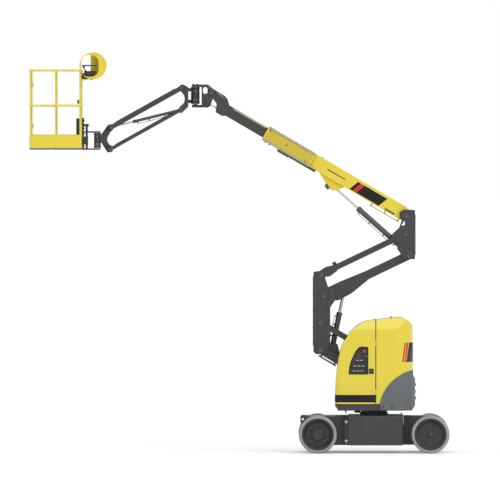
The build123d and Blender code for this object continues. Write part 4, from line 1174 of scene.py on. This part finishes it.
def notched_gland(radius, bore, sides=24):
    """A gland nut: a turned ring with every fourth face of its rim pushed in for the spanner."""
    ring = turned([(bore, 0), (radius, 0), (radius, 4), (radius, 22), (radius - 2, 26), (bore + 6, 26),
                   (bore, 23), (bore, 0)], sides)
    return toothed(ring, lambda m, n: 0.004 < m.z < 0.022 and hypot(m.x, m.y) > radius * 0.00098
                   and face_index(m, sides) % 4 == 0, 0.9)


for name, (foot, eye, barrel, rod, end, side, _) in CYLINDERS.items():
    line = along(foot, eye)
    body = f"{name}_barrel"
    axis = line @ spin(pi / 2, "Y")                        # own Z runs along the cylinder
    tuck = TUCKED.get(name, 0)
    foot_end = barrel * 0.75
    fit(notched_gland(barrel + 4.5, rod + 1.0), [axis @ shift(0, 0, end - 20 - tuck)], f"{name}_gland",
        dark_zinc, body)
    if not tuck:
        wiper = turned([(rod + 0.6, 0), (rod + 6, 0), (rod + 6, 4), (rod + 1.5, 7), (rod + 0.6, 7),
                        (rod + 0.6, 0)], 28)
        fit(wiper, [axis @ shift(0, 0, end + 6)], f"{name}_wiper", boot_rubber, body)
    collar = turned([(barrel - 2, 0), (barrel + 3, 0), (barrel + 3, 10), (barrel + 1, 14), (barrel - 2, 14),
                     (barrel - 2, 0)], 28)
    fit(collar, [axis @ shift(0, 0, foot_end + 14)], f"{name}_foot_weld", cylinder_enamel, body, 60)
    near, far = foot_end + 58, end - 52
    ports = [line @ at(mm(x, side * barrel, 0), (0, side, 0)) for x in (near, far)]
    bosses = [port @ shift(0, 0, -barrel * 0.03) for port in ports]
    fit(turned([(11, 0), (11, 9), (9, 11)], 18), bosses, f"{name}_port_bosses", cylinder_enamel, body)
    inner, out = side * (barrel + 6), side * (barrel + PIPE_GAP)
    feed = pipe([(near, inner, 0), (near, out, 0), (near + 60, out, 0), (far - 60, out, 0), (far, out, 0),
                 (far, inner, 0)], 5, 12)
    hand_over(settle(feed, line), f"{name}_feed_pipe", zinc_plate, body)
    nuts = [port @ shift(0, 0, 8) for port in ports]
    fit(turned([(9, 0), (10, 1), (10, 11), (8, 12)], 6), nuts, f"{name}_pipe_nuts", dark_zinc, body)
    saddles = [line @ shift(near + (far - near) * share, barrel if side > 0 else -barrel - PIPE_GAP, 0)
               for share in (0.3, 0.7)]
    fit(bar((-9, -2, -9), (9, 24, 9)), saddles, f"{name}_pipe_saddles", black_plastic, body)
print("cylinders:", list(CYLINDERS))

# %% Rod eyes
for name, (foot, eye, _, rod, _, _, half) in CYLINDERS.items():
    reach = hypot(eye[0] - foot[0], eye[1] - foot[1])
    rim = turned([(rod + 4, half - 1), (rod + 7, half - 1), (rod + 8, half), (rod + 7, half + 0.8),
                  (rod + 4, half + 0.8), (rod + 4, half - 1)], 28)
    fit(rim, [along(foot, eye) @ shift(reach, 0, 0) @ spin(turn, "X") for turn in (0, pi)],
        f"{name}_rod_eye_rims", dark_zinc, f"{name}_rod")
print("rod eyes:", len(CYLINDERS))

# %% [markdown]
# ## Arm fittings
# Between the plates of the arms run steel hydraulic lines in clips. The riser's upright is a
# channel, stiffened inside and closed by a bolted cover.

# %% Hydraulic lines on the arms
CLIP_STEP = 260


def lines_on(place, start, end, level, across, radius, name, body):
    """Parallel lines between two distances on an arm, at a height and several Z distances."""
    lines = joined([pipe([(start, level, z), (end, level, z)], radius) for z in across])
    hand_over(settle(lines, place), f"{name}_lines", boot_rubber, body)


for name, place, start, end, across in (("lower_arm", lower_frame, 140, 1050, (-84, -64)),
                                        ("upper_arm", upper_frame, 420, 1180, (64, 84))):
    lines_on(place, start, end, 0, across, 7, name, name)
    clip = bar((-10, -10, min(across) - 12), (10, 10, max(across) + 12))
    count = int((end - start) / CLIP_STEP)
    seats = [place @ shift(start + (end - start) * (i + 0.5) / count, 0, 0) for i in range(count)]
    fit(clip, seats, f"{name}_line_clips", black_plastic, name)
print("lines on 2 arms")

# %% Riser covers and tower bolts
RISER_COVERS = (   # name, body, inner and outer X, X of the bolts, foot and top, heights of the bolts
    ("riser_rear_cover", "riser", -888, -893, (1560, 2590), "riser_cover_bolts",
     (1600, 1840, 2080, 2320, 2550)),
    ("riser_head_cover", "riser_head", 603, 607, (2900, 3500), "riser_head_cover_bolts",
     (2930, 3120, 3300, 3470)),
)
for name, body, inner, face, (low, high), bolts_name, levels in RISER_COVERS:
    outward = (1 if face > inner else -1, 0, 0)
    cover = pressed(bar((inner, -96, low), (face, 96, high), 1.5), outward, (14, 0), (8, 1.5))
    hand_over(cover, name, grey_enamel, body)
    fit(bolt_13, crossings(outward, (face,), (-88, 88), levels), bolts_name, dark_zinc, body)
tower_bolts = on_sides(148, [(x, 690) for x in (230, 330, 430, 520)])
fit(bolt_24, tower_bolts, "tower_bolts", dark_zinc, "turntable")
print("covers:", len(RISER_COVERS), "tower bolts:", len(tower_bolts))

# %% [markdown]
# ## Jib
# The jib swings on a rotary actuator: a toothed cylinder between two flanges, each with a ring
# of bolts, and a splined shaft end with a nut. A smaller one of the same kind turns the platform.

# %% Rotary actuators
for name, x, low, high, radius, body, count in (("jib_actuator", -2625, 5122, 5370, 62, "jib_base", 8),
                                                ("platform_actuator", -4063, 4475, 4695, 50, "jib_end", 6)):
    ring = turned([(radius - 4, 0), (radius + 3, 0), (radius + 5, 2), (radius + 5, 12), (radius + 3, 14),
                   (radius - 4, 14), (radius - 4, 0)], 36)
    middle = (low + high) / 2
    levels = [shift(x, 0, z) for z in (low + 6, high - 20, middle - 30, middle + 16)]
    fit(ring, levels, f"{name}_flange_rings", grey_enamel, body)
    top = [shift(x, 0, high) @ place for place in circle_of(count, radius - 12, -1)]
    fit(bolt_13, top, f"{name}_top_bolts", dark_zinc, body)
    ports = [at(mm(x + dx, -radius + 2, z), (0, -1, 0))
             for dx, z in ((-16, low + 60), (16, low + 60), (0, high - 60))]
    fit(turned([(9, 0), (9, 12), (7, 14)], 6), ports, f"{name}_ports", zinc_plate, body)
print("actuators: 2")

# %% Carved plates
def carved(node, name, outlines, body):
    """Stands in for a CAD node: its merged copy with outlines (X, Z in mm) cut right through it."""
    piece = merged_copy(node, name)
    for outline in outlines:
        cutter = settle(plate(outline, -200, 200, 0), STAND_UP)
        modified(piece, "BOOLEAN", object=cutter, operation="DIFFERENCE", solver="EXACT")
        bpy.data.objects.remove(cutter)
    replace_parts(hand_over(piece, name, grey_enamel, body), node)
    print(name, "faces:", len(piece.data.polygons))


carved("gooseneck_fork", "fork_side_plates", [[(-2566, 5108), (-2532, 5108), (-2532, 5371), (-2566, 5371)]],
       "fork")
carved("jib_swing_base", "jib_bracket_plates", [
    [(-2832, 4979), (-2690, 5119), (-2690, 4960), (-2832, 4960)],
    [(-2810, 5413), (-2700, 5351), (-2700, 5450), (-2810, 5450)]], "jib_base")
carved("jib_head", "jib_end_plates", [
    [(-3780, 4760), (-3825, 4735), (-3878, 4692), (-3910, 4645), (-3922, 4600), (-3912, 4560), (-3884, 4524),
     (-3845, 4502), (-3790, 4490)]], "jib_end")

# %% Fork and bracket bolts
fork_bolts = [at(mm(x, y, 5408), UP) for x, y in ((-2595, -30), (-2595, 30), (-2655, -22), (-2655, 22))]
fit(bolt_19, fork_bolts, "fork_top_bolts", dark_zinc, "fork")
side_bolts = on_sides(86, ((-2510, 5380), (-2465, 5380), (-2505, 5110), (-2455, 5110), (-2505, 5240)))
fit(bolt_19, side_bolts, "fork_side_bolts", dark_zinc, "fork")
back_bolts = crossings((-1, 0, 0), (-2742,), (-60, 60), (5115, 5165, 5290, 5335))
fit(bolt_19, back_bolts, "jib_bracket_bolts", dark_zinc, "jib_base")
print("fork and bracket bolts:", len(fork_bolts) + len(side_bolts) + len(back_bolts))

# %% Jib tubes: straps and lines
for name, foot, head, level, body in (("jib_upper", (-2828, 5357), (-3857, 4781), 30, "jib_arm"),
                                      ("jib_lower", (-2836, 5036), (-3865, 4460), 20, "jib_tie")):
    place = along(foot, head)
    strap = bar((-14, level - 6, -76), (14, level + 8, -34))
    seats = [place @ shift(x, 0, 0) @ side for x in (180, 420, 760, 1010) for side in (MIRROR_Z, HERE)]
    fit(strap, seats, f"{name}_straps", black_plastic, body)
    lines_on(place, 90, 1090, level + 6, (-62, -48), 5, name, body)
print("jib lines on 2 arms")

# %% [markdown]
# ## Platform
# The platform is a welded cage of yellow tube. Its floor is raised-pattern plate, its posts
# stand in welded sockets, and the rails are joined with small beads. The control console hangs
# inside a round guard, with joysticks, rocker switches, a stop button and a foot switch below.

# %% Floor pattern
FLOOR_TOP = 4480
ROWS, COLUMNS = 17, 28
lozenge = turned([(9, 0), (7.5, 1.0), (4, 1.8)], 8)
lozenge.data.transform(Matrix.Diagonal((1.6, 0.42, 1.0, 1.0)))
pattern = [shift(-5024 + i * 43.5, -548 + j * 40.5, FLOOR_TOP) @ spin(pi / 4 if (i + j) % 2 else -pi / 4)
           for i, j in product(range(ROWS), range(COLUMNS))]
fit(lozenge, pattern, "platform_tread_pattern", floor_enamel, "platform")
print("floor:", len(pattern), "raised lozenges")

# %% Slim posts
POSTS = [(-5034.3, -561.3), (-4310.7, -561.3), (-4668, -570), *product((-5043, -4302), (-300, 300, 570))]
POST_RADIUS, THIN = 15, 0.72                          # a post's radius, and how far it is drawn in
STRETCHES, SHOULDER = ((4680, 5074), (5124, 5586)), 6     # between the rails, with a short taper
FLAT_BELOW = 4.675                                    # the kick plates end here
cage = merged_copy("platform_frame", "platform")
moved = 0
with editing():
    for low, high in STRETCHES:
        for level in (low - SHOULDER, low, high, high + SHOULDER):
            take_all()
            bpy.ops.mesh.bisect(plane_co=mm(0, 0, level), plane_no=UP, clear_inner=False, clear_outer=False)
    mesh = bmesh.from_edit_mesh(cage.data)
    bpy.ops.mesh.select_mode(type="VERT")
    for x, y in POSTS:
        bpy.ops.mesh.select_all(action="DESELECT")
        for vertex in mesh.verts:
            place = vertex.co * 1000
            on_post = abs(hypot(place.x - x, place.y - y) - POST_RADIUS) < 0.8
            if on_post and any(low - 1 < place.z < high + 1 for low, high in STRETCHES):
                vertex.select_set(True)
                moved += 1
        bmesh.update_edit_mesh(cage.data)
        bpy.ops.transform.resize(value=(THIN, THIN, 1), center_override=mm(x, y, 5000))
hand_over(cage, "platform_rails_and_posts", yellow_enamel, "platform")
with editing(cage):
    pick(lambda m, n: m.z < FLAT_BELOW and max(abs(n.x), abs(n.y), abs(n.z)) > 0.9999)
    bpy.ops.mesh.faces_shade_flat()
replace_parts(cage, "platform_frame")
print("posts: moved", moved, "points")

# %% Post sockets, rail joints and foot switch
socket = turned([(15.1, 0), (16, 0), (16, 30), (15.5, 34), (15.1, 34), (15.1, 0)], 24)
fit(socket, [shift(x, y, FLOOR_TOP) for x, y in POSTS], "platform_post_sockets", yellow_enamel, "platform")
joint = turned([(15.1, -18), (15.8, -17), (16, -14), (16, 14), (15.8, 17), (15.1, 18)], 24)
fit(joint, [shift(x, y, 5099) for x, y in POSTS if abs(y) < 569.0 or x == -4668], "platform_rail_joints",
    yellow_enamel, "platform", 50)
fit(bolt_13, crossings((-1, 0, 0), (-5047,), (-480, -160, 160, 480), (4570,)), "kick_plate_bolts", dark_zinc,
    "platform")
pedal = pressed(plate([(-58, -44), (58, -44), (58, 44), (-58, 44)], 0, 26, 4), UP, (12, 0), sink=12)
hand_over(settle(pedal, shift(-4480, 180, 4481)), "foot_switch_guard", yellow_enamel, "platform")
hand_over(bar((-4524, 148, 4493), (-4438, 212, 4504), 3), "foot_switch_pedal", boot_rubber, "platform")
print("platform:", len(POSTS), "sockets, foot switch")

# %% Gate latch and hinge caps
latch_case = pressed(bar((-4372, 562, 5120), (-4328, 578, 5180), 3), (0, -1, 0), (8, 2))
hand_over(latch_case, "gate_latch_case", yellow_enamel, "gate")
lever = plate([(0, -6), (52, -4), (58, 4), (50, 9), (0, 8)], 0, 6, 1.5)
hand_over(settle(lever, at(mm(-4350, 561, 5122), (0, -1, 0), pi / 2)), "gate_latch_lever", black_plastic,
          "gate")
hinge_cap = turned([(10.5, 0), (10.5, 2), (7, 5), (4, 6)], 20)
fit(hinge_cap, [shift(-5022, 548, z + 20.5) for z in (4800, 5400)], "gate_hinge_caps", dark_zinc, "gate")
print("gate: latch and 2 hinge caps")

# %% Console fittings
CONSOLE_TILT = atan2(47, 110)                       # slope of the console's face
LAMPS = (-110, -84, -58, -32, -6)                   # distances of the lamps; the rockers have one more
console_face = shift(-4235, 0, 5585) @ spin(-CONSOLE_TILT, "Y")
face_plate = pressed(bar((-50, -246, -2), (50, 246, 2), 1), UP, (6, -0.8))
hand_over(settle(face_plate, console_face), "console_face_plate", chain_nylon, "platform")
boot = turned([(26, 1), (26, 5), (22, 9), (23, 12), (18, 16), (19, 19), (13, 24), (14, 27), (8, 33)], 24)
stick = turned([(5, 30), (5, 62), (9, 68), (12, 78), (12, 92), (8, 100), (4, 102)], 20)
stop = turned([(13, 1), (13, 9), (19, 11), (19, 15), (16, 18), (9, 19.5)], 28)
rocker = bar((-9, -6, 0), (9, 6, 7), 1.5)
with editing():
    pick(lambda m, n: m.x > 0.006 and n.z > 0.3)
    bpy.ops.transform.translate(value=(0, 0, 0.003))
led = turned([(4, 1), (4, 3), (2.5, 4.5)], 14)
for name, model, spots, material in (
        ("joystick_boots", boot, [(4, -170, 0), (4, 150, 0)], boot_rubber),
        ("joystick_grips", stick, [(4, -170, 0), (4, 150, 0)], black_plastic),
        ("console_stop_button", stop, [(6, 60, 0)], red_plastic),
        ("console_rockers", rocker, product((-20, 18), (*LAMPS, 20), (1,)), black_plastic),
        ("console_lamps", led, product((-34,), LAMPS, (1,)), green_plastic)):
    fit(model, [console_face @ shift(*spot) for spot in spots], name, material, "platform")
rubber_foot = turned([(14, 0), (14, 12), (11, 16), (7, 17)], 20)
fit(rubber_foot, crossings((0, 0, -1), (-4236, -4150), (-240, 240), (5491,)), "console_feet", boot_rubber,
    "platform")
hand_rail = pipe([(-4288, -287, 5686), (-4090, -287, 5686), (-4090, 287, 5686), (-4288, 287, 5686)], 9, 40)
hand_over(hand_rail, "console_hand_rail", black_plastic, "platform")
print("console: sticks, stop, rockers, lamps, feet and hand rail")

# %% Guard webs in painted shade, and lips
GUARD_X, GUARD_Z, GUARD_RADIUS = -4128, 5684, 186


def on_guard(angle):
    """A point (X, Z in mm) on the round guard."""
    return GUARD_X + GUARD_RADIUS * cos(angle), GUARD_Z + GUARD_RADIUS * sin(angle)


# The webs are plates in the darker yellow, as painted shade: they stand for the shaded far side of the round
# guard, seen through its opening.
web = plate([(-4161, GUARD_Z - 150), (-4150, GUARD_Z - 172),
             *[on_guard(radians(degree)) for degree in range(-84, 96, 12)],
             (-4150, GUARD_Z + 172), (-4161, GUARD_Z + 150)], -3, 3, 0)
fit(web, [shift(0, y, 0) @ STAND_UP for y in (-150, 150)], "guard_shade_webs", shaded_enamel, "platform")
lip = pipe([(-4296, -282, 5474), (-4272, -282, 5474), (-4060, -282, 5518), (-4020, -282, 5560)], 8, 20)
fit(lip, [HERE, MIRROR_Y], "console_tray_lips", yellow_enamel, "platform")
guard_bolts = on_sides(300, [on_guard(angle) for angle in (-0.9, -0.2, 0.5, 1.2)])
fit(bolt_13, guard_bolts, "guard_bolts", yellow_enamel, "platform")
support_bolts = crossings((1, 0, 0), (-4262,), (-40, 40), (4500, 4680, 4760, 4880))
fit(bolt_19, support_bolts, "support_bolts", dark_zinc, "platform")
document_lid = pressed(bar((-4374, -232, 4898), (-4308, 62, 4906)), UP, (10, 1.5))
hand_over(document_lid, "document_box_lid", black_plastic, "platform")
print("guard: webs, lips and", len(guard_bolts), "bolts; support bolts:", len(support_bolts))

# %% [markdown]
# ## Chassis
# The chassis is a welded box between the wheels. Its ends carry bolted covers, a slewing ring
# with a circle of bolts stands on its top, and beside the wheels stand a black block with two
# clamps, which is painted shade for a dark recess, and a steel brake line.

# %% Slewing ring
GEAR_FACES = 120
ring = turned([(188, 0), (214, 0), (216, 2), (216, 12), (213, 15), (196, 15), (193, 22), (188, 22),
               (188, 0)], 64)
fit(ring, [shift(0, 0, 541)], "slewing_ring_flange", cylinder_enamel, "chassis")
fit(bolt_19, circle_of(24, 205, 555), "slewing_ring_bolts", dark_zinc, "chassis")
gear = toothed(turned([(186, 0), (199, 0), (199, 26), (186, 26), (186, 0)], GEAR_FACES),
               lambda m, n: hypot(m.x, m.y) > 0.198 and face_index(m, GEAR_FACES) % 2 == 0, 1.035)
fit(gear, [shift(0, 0, 568)], "slewing_gear_teeth", dark_zinc, "chassis", 20)
print("slewing ring: 24 bolts and", GEAR_FACES // 2, "teeth")

# %% End covers
MARGIN = 22                   # from a cover's edge to its bolts
for name, face, inner, half, low, high in (("drive_end_cover", -1006, -999, 240, 230, 490),
                                           ("steer_end_cover", 1006, 999, 165, 205, 440)):
    outward = (1 if face > 0 else -1, 0, 0)
    cover = pressed(bar((face, -half, low), (inner, half, high), 1.5), outward, (MARGIN * 1.6, 0), (6, -2))
    hand_over(cover, name, grey_enamel, "chassis")
    seats = crossings(outward, (face,), (MARGIN - half, half - MARGIN), (low + MARGIN, high - MARGIN))
    fit(bolt_19, seats, f"{name}_bolts", dark_zinc, "chassis")
print("end covers: 2")

# %% Side fittings
for side_name, side in SIDES:
    # A black plastic block stands where the chassis side has a dark recess: a dark part put in as painted
    # shade.
    dark_recess_piece = pressed(bar((-437, side * 400, 128), (-383, side * 548, 520), 4), (0, side, 0), (10, -4))
    hand_over(dark_recess_piece, f"{side_name}_recess_shade_block", black_plastic, "chassis")
    clamp = turned([(22, 0), (22, 4), (16, 6), (11, 6), (11, 13), (8, 14)], 24)
    for level in (182, 462):
        fit(clamp, [at(mm(-410, side * 545, level), (0, side, 0))], f"{side_name}_recess_block_clamp_{level}",
            zinc_plate, "chassis")
    line = pipe([(405, side * 470, 540), (405, side * 470, 566), (420, side * 548, 566),
                 (428, side * 548, 440), (452, side * 500, 412), (452, side * 300, 412)], 6.5, 16)
    hand_over(line, f"{side_name}_brake_line", zinc_plate, "chassis")
    step = pressed(bar((-376, side * 470, 540), (411, side * 558.5, 545), 1.5), UP, (12, 0), (4, 1.5))
    hand_over(step, f"{side_name}_step_plate", floor_enamel, "chassis")
    side_bolts = crossings((0, side, 0), (-330, 370), (side * 560,), (170, 490))
    fit(bolt_24, side_bolts, f"{side_name}_chassis_bolts", grey_enamel, "chassis")
    hook = bar((-424, side * 500, 584), (-406, side * 522, 632), 3)
    with editing():
        pick(lambda middle, normal: normal.z < -0.9)
        extrude(16, 0, 0)
    hand_over(hook, f"{side_name}_turntable_hook", dark_zinc, "turntable")
print("side fittings on both sides")

# %% Drive motors and kingpins
AXLE_X, AXLE_Z = 826, 279.5
flange = turned([(70, 0), (100, 0), (102, 2), (102, 12), (98, 15), (70, 15), (70, 0)], 36)
king_cap = turned([(19, 0), (24, 1), (24, 8), (18, 12), (6, 12), (5, 18), (3, 20)], 24)
for side_name, side in SIDES:
    fit(flange, [at(mm(-AXLE_X, side * 425, AXLE_Z), (0, side, 0))], f"{side_name}_drive_flange",
        cylinder_enamel, "chassis")
    seats = [at(mm(-AXLE_X + 86 * cos(a), side * 439, AXLE_Z + 86 * sin(a)), (0, side, 0))
             for a in [2 * pi * i / 10 for i in range(10)]]
    fit(bolt_13, seats, f"{side_name}_drive_flange_bolts", dark_zinc, "chassis")
    fit(king_cap, [shift(AXLE_X, side * 368, 370)], f"{side_name}_kingpin_cap", dark_zinc, "chassis")
print("drive flanges and kingpin caps: 2 of each")

# %% [markdown]
# ## Turntable and tail
# Under the covers the turntable is a pressed tray. Its rim is bolted all round, and the rear of
# each cover has a bank of louvres that lets the heat of the chargers out.

# %% Rim bolts and louvres
rim_bolts = on_sides(560, [(x, 675) for x in (-420, -250, -80)])
fit(bolt_13, rim_bolts, "turntable_rim_bolts", dark_zinc, "turntable")
slat = plate([(0, 0), (9, 4), (9, 7), (0, 16)], -52, 52, 1)
slats = [shift(572, side * 226, 1290 + row * 34) @ STAND_UP for _, side in SIDES for row in range(10)]
fit(slat, slats, "rear_louvres", hood_gel_coat, "turntable")
print("louvres:", len(slats), "rim bolts:", len(rim_bolts))

# %% Tail weight skirt
def arc(x, y, radius, degrees):
    """Points (mm) round a middle, with the angle counted from Y towards X."""
    return [(x + radius * sin(radians(degree)), y + radius * cos(radians(degree))) for degree in degrees]


skirt = plate([(90, 586), *arc(285, 268, 318, range(0, 75, 6)), *arc(304, 260, 298, range(66, -1, -6)),
               (90, 558)],
              640, 721.5, 0)
with editing():
    take_all()
    bpy.ops.mesh.bisect(plane_co=mm(548, 0, 620), plane_no=mm(96, 0, -67).normalized(), use_fill=True,
                        clear_outer=True)
fit(skirt, [HERE, MIRROR_Y], "tail_weight_skirts", cast_weight, "turntable")
skirt_bolts = on_sides(586, [(130, 675), (262, 675)])
fit(bolt_19, skirt_bolts, "tail_weight_skirt_bolts", dark_zinc, "turntable")
print("skirts: 2, bolts:", len(skirt_bolts))

# %% [markdown]
# ## Gussets of the riser
# Where the upper arm and its tie bars meet the riser, plates are welded on from outside: a gusset
# under the arm's foot and a cheek on each tie bar that keeps its eye from tearing.

# %% Gussets and cheeks
gusset = plate([(-700, 2396), (-664, 2396), (-640, 2433), (-585, 2433), (-572, 2340), (-563, 2249),
                (-645, 2130), (-700, 2130), (-672, 2240), (-664, 2306), (-672, 2372)], 145.2, 151, 1)
cheek = plate([(-812, 2600), (-820, 2645), (-764, 2690), (-700, 2727), (-600, 2749), (-535, 2672),
               (-645, 2589), (-737, 2580)], 120.2, 126, 1)
pair = [STAND_UP, MIRROR_Y @ STAND_UP]
fit(gusset, pair, "riser_gussets", grey_enamel, "riser")
fit(cheek, pair, "upper_tie_cheeks", grey_enamel, "upper_tie")
print("gussets and cheeks: 2 of each")

# %% [markdown]
# ## The end
# The models that copies were taken from are cleared away.

# %% Clearing up
for model in models:
    bpy.data.objects.remove(model)
